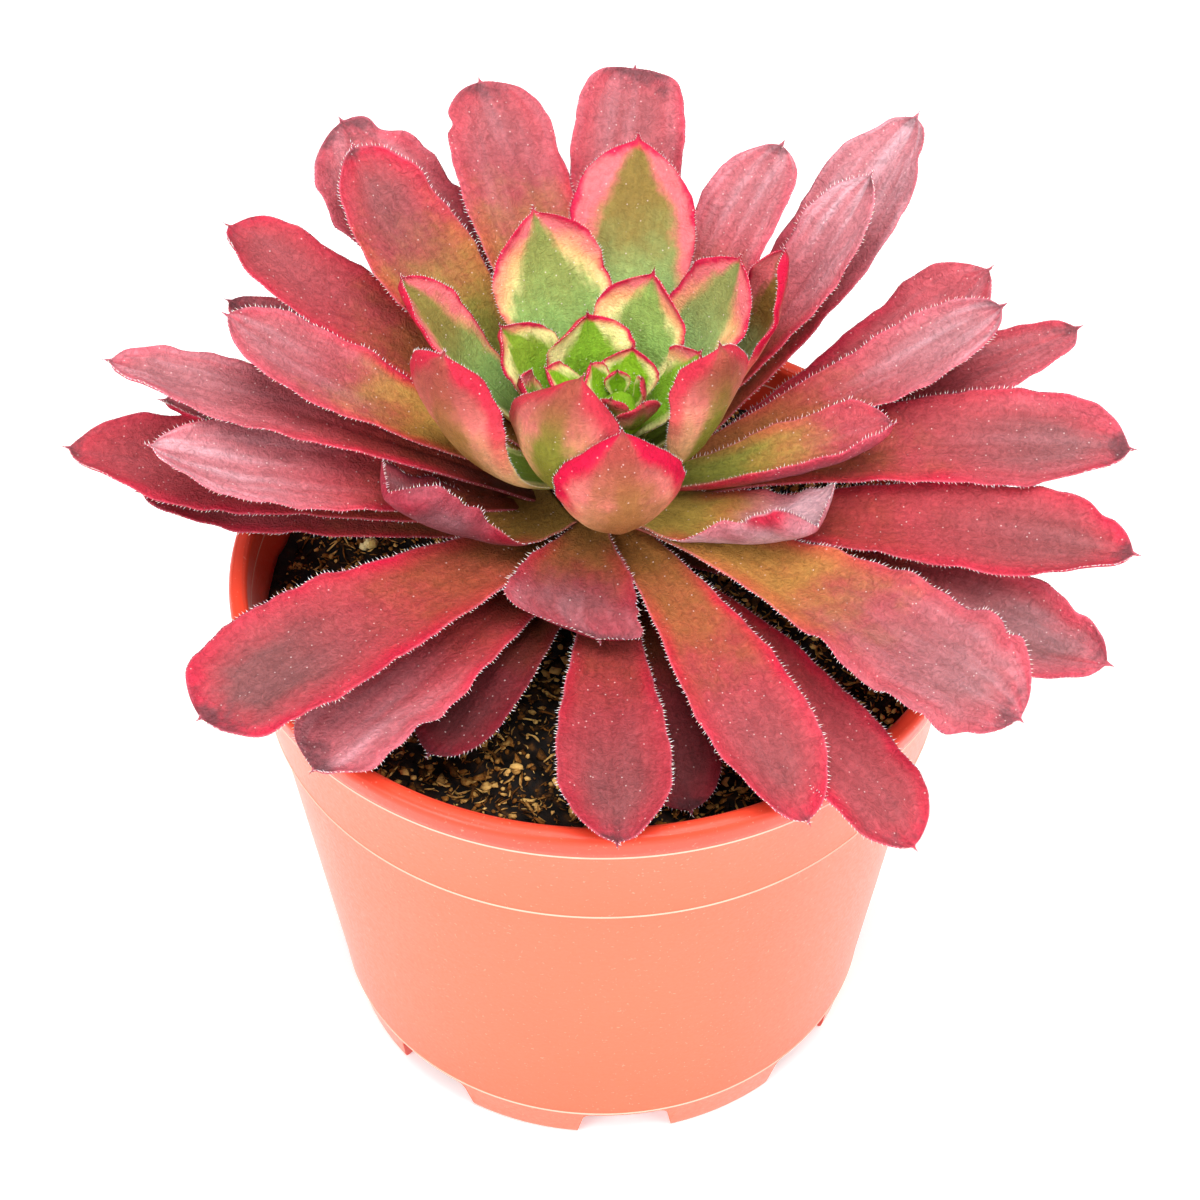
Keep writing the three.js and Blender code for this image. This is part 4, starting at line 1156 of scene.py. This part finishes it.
@dataclass
class Pot:
    """The nursery pot: a thin tapering wall, a collar above a small step, a rolled lip, and eight feet."""

    height: float = 119.5
    rim: float = 76
    step_height: float = 89.5
    step: float = 70.2
    base: float = 57
    wall: float = 1.5
    floor_under: float = 4
    pad: float = 11
    sides: int = 240
    feet: int = 8
    gap_height: float = 9.3
    gap_top: float = 17
    gap_foot: float = 21
    gap_reach: tuple[float, float] = (-9, 11)  # how far inside and outside the foot's radius a gap is cut
    first_gap: float = -85
    drains: int = 6
    drain_sides: int = 24
    drain_radius: float = 4
    drain_ring: float = 30
    drain_cut: tuple[float, float] = (11.0, 1.0)  # heights between which a hole is cut
    sharp_angle: float = 38

    def outline(self) -> np.ndarray:
        """The wall's section as radius and height, from the pad below, over the lip to the inside."""
        top = self.height
        low = self.floor_under
        ledge = top - 6.9  # a fine ledge just under the rolled lip
        return rounded([
            (self.pad, 0, 0),
            (self.pad + 1, low, 0.8),
            (self.base - 8, low, 1),
            (self.base - 5, 0, 0.6),
            (self.base - 0.6, 0, 1.8),
            (self.base + 1.5, 10, 0.3),
            (self.base + 1.8, 10.15, 0.1),
            (self.base + 1.65, 10.5, 0.15),
            (self.step - 0.9, self.step_height, 0.2),
            (self.step + 0.1, self.step_height + 0.4, 0.15),
            (self.step - 0.15, self.step_height + 0.75, 0.15),
            (self.rim - 1.75, ledge, 0.1),
            (self.rim - 1.0, ledge + 0.15, 0.2),
            (self.rim - 1.1, ledge + 0.7, 0.2),
            (self.rim - 0.75, top - 5.1, 0.4),
            (self.rim - 0.1, top - 1.2, 1.3),
            (self.rim - 2.2, top + 0.05, 1.6),
            (self.rim - 4.0, top - 0.9, 1.1),
            (self.rim - 4.3, top - 5, 0.8),
            (self.step - self.wall, self.step_height + 1.5, 0.8),
            (self.step - 0.9 - self.wall, self.step_height - 1, 0.8),
            (self.base + 0.2 - self.wall, low + self.wall + 2, 1.2),
            (self.base - 2 - self.wall, low + self.wall, 1),
            (2, low + self.wall, 0),
        ])

    def cutters(self) -> Surface:
        """The spaces between the feet, as prisms pushed out through the wall, and the round drain holes."""
        high, top, foot = self.gap_height, self.gap_top / 2, self.gap_foot / 2
        right = [(foot, -1, 0), (top + 0.6, high - 1.4, 0.6), (top, high, 1.4)]
        left = [(-across, up, soft) for across, up, soft in right]
        gap = rounded(left + right[::-1])
        near, far = (self.base + reach for reach in self.gap_reach)
        turns = [math.radians(self.first_gap + 360 * i / self.feet) for i in range(self.feet)]
        made = [self.prism(gap, near, far, away) for away in turns]
        angle = np.linspace(0, math.tau, self.drain_sides, endpoint=False)
        circle = self.drain_radius * np.stack([np.cos(angle), np.sin(angle)], axis=-1)
        for i in range(self.drains):
            away = math.tau * i / self.drains
            middle = self.drain_ring * np.array([math.cos(away), math.sin(away)])
            rings = np.stack([np.insert(circle + middle, 2, z, axis=1) for z in self.drain_cut])
            first, last = (np.append(middle, z) for z in self.drain_cut)
            made.append(loft(rings, first, last, np.zeros((2, len(circle), 2))))
        return joined(made)

    def prism(self, outline: np.ndarray, near: float, far: float, away: float) -> Surface:
        """An upright outline pushed outwards along an azimuth, from one distance of the axis to another."""
        out = np.array([math.cos(away), math.sin(away), 0])
        level = np.array([-math.sin(away), math.cos(away), 0])
        flat = outline[:, :1] * level + outline[:, 1:] * np.array([0, 0, 1])
        rings = np.stack([flat + out * near, flat + out * far])
        return loft(rings, rings[0].mean(axis=0), rings[1].mean(axis=0), np.zeros((2, len(outline), 2)))

    def build(self) -> None:
        """Turns the wall, cuts the gaps and holes, and binds the finished pot."""
        shell = turned(self.outline(), self.sides, 0, self.floor_under + self.wall)
        made = shell.piece("pot_shell", PotPlastic().material(), Slot.POT, ("pot",))
        cutter = bpy.data.objects.new("pot_gaps", self.cutters().mesh("pot_gaps"))
        bpy.context.scene.collection.objects.link(cutter)
        cut = made.modifiers.new("gaps", "BOOLEAN")
        cut.operation = "DIFFERENCE"
        cut.solver = "MANIFOLD"
        cut.object = cutter
        bpy.context.view_layer.update()
        graph = bpy.context.evaluated_depsgraph_get()
        finished = bpy.data.meshes.new_from_object(made.evaluated_get(graph))
        made.modifiers.clear()
        made.data = finished
        finished.set_sharp_from_angle(angle=math.radians(self.sharp_angle))
        bpy.data.objects.remove(cutter)
        log.info("pot_shell after its gaps: %d faces", len(finished.polygons))


SOIL_LEVEL = 104.5
SOIL_EDGE = 69.6
STEM_BURIED = 22.0


def soil_height(x: np.ndarray, y: np.ndarray) -> np.ndarray:
    """Height of the soil: three slow waves and a low mound, as in the part, with small lumps added."""
    lumps = np.sin(0.31 * x + 1.3) * np.cos(0.27 * y - 0.4) + 0.7 * np.sin(0.53 * x - 0.35 * y)
    lumps = lumps + 0.5 * np.cos(0.61 * y + 0.2 * x)
    mound = 2 * (1 - (x * x + y * y) / 68**2)
    return SOIL_LEVEL + 0.9 * lumps + mound + 0.45 * ripples(x, y, 7, 1.3, 26, 11)


@dataclass(frozen=True)
class PeatFinish:
    """Moist peat with bark crumbs: black-brown and rough, with golden-brown bits and a little wet shine."""

    name: str
    stops: tuple[tuple[float, str], ...]
    roughness: float = 0.78
    grain_mm: float = 0.7

    def material(self) -> bpy.types.Material:
        """Builds the node tree: the tone of each crumb, broken up by grain.

        Returns:
            The finished material.
        """
        sh = Shader(self.name)
        place = sh.add("TexCoord", output="Object")
        tone = sh.add("Attribute", output="Fac", attribute_name="tone")
        scale = 1 / (self.grain_mm * MM)
        grain = sh.add("TexNoise", {"Vector": place, "Scale": scale, "Detail": 5.0, "Roughness": 0.7})
        uneven = sh.add("Math", {0: grain, 1: 0.5}, operation="SUBTRACT")
        mixed = sh.add("Math", {0: uneven, 1: 0.7, 2: tone}, **TIMES_PLUS)
        colour = sh.add("ValToRGB", {0: mixed}, stops=self.stops)
        bump = sh.add("Bump", {"Strength": 0.8, "Distance": 0.4 * MM, "Height": grain})
        low, high = self.roughness - 0.25, self.roughness + 0.1
        rough = sh.add("MapRange", {0: grain, 1: 0.3, 2: 0.7, 3: low, 4: high})
        return sh.finish({
            "Base Color": colour,
            "Roughness": rough,
            "Specular IOR Level": 0.2,
            "Normal": bump,
        })


def turned_pair(a: np.ndarray, b: np.ndarray, angle: np.ndarray) -> tuple[np.ndarray, np.ndarray]:
    """Turns two coordinates of each bit by its own angle: a cos - b sin, and a sin + b cos."""
    across, up = np.cos(angle)[:, None], np.sin(angle)[:, None]
    return a * across - b * up, a * up + b * across


@dataclass
class Soil:
    """The potting mix: a lumpy filling with crumbs of bark and peat fibres lying on it."""

    rings: int = 110
    sides: int = 260
    crumbs: int = 3600
    chips: int = 1900
    fibres: int = 5200
    pale_lump: tuple[float, float, float] = (-49.0, 16.5, 1.6)  # place and reach of the one pale lump

    def build(self) -> None:
        """Makes the filling and what lies on it."""
        dark = ((0.0, "#020101"), (1.0, "#5e3c18"), (0.45, "#0e0805"), (0.75, "#2a190b"))
        peat = PeatFinish("moist_peat", dark).material()
        golden = ((0.0, "#080402"), (1.0, "#e6b768"), (0.35, "#241306"), (0.7, "#8a561c"))
        bark = PeatFinish("bark_crumbs", golden).material()
        straw = PeatFinish("dry_bark", ((0.0, "#a9842f"), (1.0, "#f6e6a8"))).material()
        self.filling().piece("potting_mix", peat, Slot.SOIL, ("soil",))
        self.scatter(self.crumbs, (0.3, 1.0), (1, 0.8, 0.6), 3).piece("peat_crumbs", bark, Slot.SOIL)
        self.scatter(self.chips, (0.5, 2.0), (1, 0.55, 0.3), 4).piece("bark_chips", bark, Slot.SOIL)
        self.scatter(self.fibres, (0.8, 2.8), (1, 0.12, 0.1), 5).piece("peat_fibres", bark, Slot.SOIL)
        self.scatter(16, (0.9, 1.3), (1, 0.9, 0.8), 6, self.pale_lump).piece("pale_lump", straw, Slot.SOIL)

    def filling(self) -> Surface:
        """The filling: its top in rings round the stem's hole, then down the pot's inside to the floor."""
        loose, wall_gap = 0.3, 0.5  # clear space at the stem, and at the pot's wall
        hole = STEM_RADIUS + loose
        low = SOIL_LEVEL - STEM_BURIED - loose
        pot = Pot()
        floor = pot.floor_under + pot.wall
        outside = [
            (pot.step, pot.step_height + 1.75),
            (pot.step - 0.9, pot.step_height - 0.75),
            (pot.base + 0.2, floor + 2.25),
            (pot.base - 2, floor + 0.25),
        ]
        inside = [(radius - pot.wall - wall_gap, height) for radius, height in outside]
        top = np.geomspace(hole, SOIL_EDGE, self.rings)
        radius = np.concatenate([[hole, hole], top, [r for r, _ in inside]])
        angle = np.linspace(0, math.tau, self.sides, endpoint=False)
        x, y = radius[:, None] * np.cos(angle), radius[:, None] * np.sin(angle)
        z = soil_height(x, y)
        z[0] = low
        z[1] = soil_height(x[2], y[2]) - 3
        z[-len(inside):] = np.array([h for _, h in inside])[:, None]
        rings = np.stack([x, y, z], axis=-1)
        made = loft(rings, np.array([0, 0, low]), np.array([0, 0, inside[-1][1]]), np.zeros((*x.shape, 2)))
        made.values = {"tone": 0.45 + 0.35 * ripples(made.points[:, 0], made.points[:, 1], 5, 1.2, 18, 21)}
        return made

    def scatter(
        self,
        count: int,
        sizes: tuple[float, float],
        shape: tuple[float, float, float],
        seed: int,
        spot: tuple[float, float, float] | None = None,
    ) -> Surface:
        """Strews broken bits over the soil, or heaps them in one spot.

        Each bit is a twenty-faced ball, stretched to its shape, with its corners moved in or out by a draw,
        bent by a drawn share of its length squared, turned a drawn way, and sunk a little into the soil.

        Args:
            count: number of bits.
            sizes: smallest and largest half length in mm.
            shape: half lengths of a bit as shares of its size.
            seed: seed of the draw.
            spot: place and reach of a heap, for bits that don't lie all over the soil.

        Returns:
            All bits as one surface.
        """
        ball = bmesh.new()
        bmesh.ops.create_icosphere(ball, subdivisions=1, radius=1)
        corners = np.array([v.co[:] for v in ball.verts])
        faces = np.array([[v.index for v in f.verts] for f in ball.faces])
        ball.free()
        draw = np.random.default_rng(seed)
        size = sizes[0] + (sizes[1] - sizes[0]) * draw.uniform(0, 1, count) ** 2.2
        broken = corners * draw.uniform(0.6, 1.15, (count, len(corners), 1))
        broken = broken * np.array(shape) * size[:, None, None]
        spin = draw.uniform(0, math.tau, count)
        tilt = draw.normal(0, 0.35, count)
        x, y, z = broken[..., 0], broken[..., 1], broken[..., 2]
        bend = x**2 / size[:, None]
        y = y + draw.normal(0, 0.45, (count, 1)) * bend
        z = z + draw.uniform(0, 0.25, (count, 1)) * bend
        x, z = turned_pair(x, z, tilt)
        x, y = turned_pair(x, y, spin)
        turn = draw.uniform(0, math.tau, count)
        if spot:
            from_x, from_y, reach = spot
            away = reach * np.sqrt(draw.uniform(0, 1, count))
            heap = 1.5 * (1 - (away / reach) ** 2)
        else:
            from_x = from_y = heap = 0
            away = np.sqrt(draw.uniform((STEM_RADIUS + 3) ** 2, (SOIL_EDGE - 2.5) ** 2, count))
        at_x, at_y = from_x + away * np.cos(turn), from_y + away * np.sin(turn)
        rise = soil_height(at_x, at_y) + 0.3 * size * shape[2] + 0.15 + heap
        points = np.stack([x + at_x[:, None], y + at_y[:, None], z + rise[:, None]], axis=-1).reshape(-1, 3)
        triangles = (np.arange(count)[:, None, None] * len(corners) + faces).reshape(-1, 3)
        tone = np.repeat(np.clip(draw.normal(0.68, 0.28, count), 0, 1), len(corners))
        no_quads = np.empty((0, 4), dtype=int)
        return Surface(points, no_quads, triangles, np.zeros((len(points), 2)), {"tone": tone})


@dataclass(frozen=True)
class BarkFinish:
    """Young woody stem: thin tan bark, green where the newest leaves grew, with darker leaf scars."""

    bark: str = "#6e4f2c"
    green: str = "#6f7a34"
    scar: str = "#3d2616"

    def material(self) -> bpy.types.Material:
        """Builds the node tree: bark by height, vertical fibre and scars.

        Returns:
            The finished material.
        """
        sh = Shader("woody_bark")
        place = sh.add("TexCoord", output="Object")
        height = sh.add("SeparateXYZ", {0: place}).node.outputs[2]
        young_part = sh.add("MapRange", {0: height, 1: 128 * MM, 2: 150 * MM}, **SOFT)
        colour = sh.add("Mix", {0: young_part, 6: self.bark, 7: self.green}, 2, **COLOURS)
        squeezed = sh.add("Mapping", {"Vector": place, "Scale": (1.0, 1.0, 0.25)})
        fibre = sh.add("TexNoise", {"Vector": squeezed, "Scale": 1 / (1.2 * MM), "Detail": 4.0})
        scarred = sh.add("Attribute", output="Fac", attribute_name="scar")
        colour = sh.add("Mix", {0: scarred, 6: colour, 7: self.scar}, 2, **COLOURS)
        lines = sh.add("MapRange", {0: fibre, 1: 0.3, 2: 0.7, 3: 0.7, 4: 1.2})
        colour = sh.add("Mix", {0: 1.0, 6: colour, 7: lines}, 2, **TINT)
        bump = sh.add("Bump", {"Strength": 0.6, "Distance": 0.4 * MM, "Height": fibre})
        return sh.finish({"Base Color": colour, "Roughness": 0.7, "Normal": bump})


@dataclass
class Stem:
    """The short woody stem, marked by the scars of fallen leaves."""

    sides: int = 96
    rings: int = 110
    scar_rows: float = 5.5  # distance between rows of scars in mm
    scars_round: int = 8
    scar_slim: tuple[float, float] = (3.0, 4.2)  # how far a scar is squeezed, across and up
    scar_depth: float = 0.045  # as a share of the radius
    swelling: float = 0.012  # slow swelling of the stem along its height, as a share of the radius

    def build(self) -> None:
        """Turns the stem and presses the scars into it: lens shapes in rows, each row half a step on."""
        low = SOIL_LEVEL - STEM_BURIED
        z = np.linspace(low, STEM_TOP, self.rings)
        radius = np.array([stem_radius(h) for h in z])
        made = turned(np.column_stack([radius, z]), self.sides, low, STEM_TOP)
        x, y, height = made.points.T
        angle = np.arctan2(y, x) / math.tau * self.scars_round
        row = (height - low) / self.scar_rows
        sideways = (angle + 0.5 * np.floor(row)) % 1 - 0.5
        upwards = row % 1 - 0.5
        off = np.hypot(sideways * self.scar_slim[0], upwards * self.scar_slim[1])
        scar = ease(1.25 - off) * (np.hypot(x, y) > 1)
        swell = 1 - self.scar_depth * scar + self.swelling * np.sin(height * 1.7)
        made.points[:, :2] *= np.minimum(swell, 1.01)[:, None]
        made.values = {"scar": scar}
        made.piece("woody_trunk", BarkFinish().material(), Slot.STEM, ("stem",))


# Studio


@dataclass
class Studio:
    """A plain pale floor, a white room and three soft lamps, with the camera at the photograph's angle."""

    eye: tuple[float, float, float] = (-0.0004, -0.4302, 0.5257)
    look_down: float = 44.2
    lens: float = 87.36
    sensor: float = 36.0
    floor_side: float = 8.0
    room: float = 0.38
    exposure: float = 0.0
    aim: tuple[float, float, float] = (0, 0, 0.12)  # where the lamps point, in metres

    def build(self) -> None:
        """Makes the floor, the world, the lamps and the camera."""
        scene = bpy.context.scene
        scene.view_settings.view_transform = "Standard"
        scene.view_settings.look = "None"
        scene.view_settings.exposure = self.exposure
        self.floor()
        world = bpy.data.worlds.new("white_room")
        world.use_nodes = True
        world.node_tree.nodes["Background"].inputs["Color"].default_value = linear("#ffffff")
        world.node_tree.nodes["Background"].inputs["Strength"].default_value = self.room
        scene.world = world
        self.lamp("overhead", (0.1, -0.2, 1.3), 1.0, 20)
        self.lamp("front_left", (-0.9, -1.0, 0.8), 0.7, 14)
        self.lamp("front_right", (1.0, -0.7, 0.7), 0.6, 7)
        eye = bpy.data.cameras.new("photograph_view")
        eye.lens = self.lens
        eye.sensor_width = self.sensor
        camera = bpy.data.objects.new("photograph_view", eye)
        camera.location = self.eye
        down = math.radians(self.look_down)
        camera.rotation_mode = "QUATERNION"
        camera.rotation_quaternion = Vector((0, math.cos(down), -math.sin(down))).to_track_quat("-Z", "Y")
        scene.collection.objects.link(camera)
        scene.camera = camera

    def floor(self) -> None:
        """Lays the floor: a pale sheet of paper, level with the pot's feet."""
        half = self.floor_side / 2
        mesh = bpy.data.meshes.new("floor")
        corners = [(-half, -half, 0), (half, -half, 0), (half, half, 0), (-half, half, 0)]
        mesh.from_pydata(corners, [], [(0, 1, 2, 3)])
        mesh.materials.append(Shader("backlit_white_paper").finish({
            "Base Color": "#fafafa",
            "Roughness": 0.9,
            "Specular IOR Level": 0.1,
            "Emission Color": "#ffffff",
            "Emission Strength": 0.33,
        }))
        made = bpy.data.objects.new("floor", mesh)
        bpy.context.scene.collection.objects.link(made)

    def lamp(self, name: str, place: tuple[float, float, float], side: float, watts: float) -> None:
        """Hangs one square soft lamp that faces the plant."""
        light = bpy.data.lights.new(name, "AREA")
        light.size = side
        light.energy = watts
        made = bpy.data.objects.new(name, light)
        made.location = place
        made.rotation_euler = (Vector(self.aim) - Vector(place)).to_track_quat("-Z", "Y").to_euler()
        bpy.context.scene.collection.objects.link(made)


def main() -> None:
    """Builds the potted plant and the studio round it."""
    logging.basicConfig(level=logging.INFO, format="%(message)s")
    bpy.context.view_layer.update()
    Pot().build()
    Soil().build()
    Stem().build()
    Rosette().build()
    Studio().build()


if __name__ == "__main__":
    main()
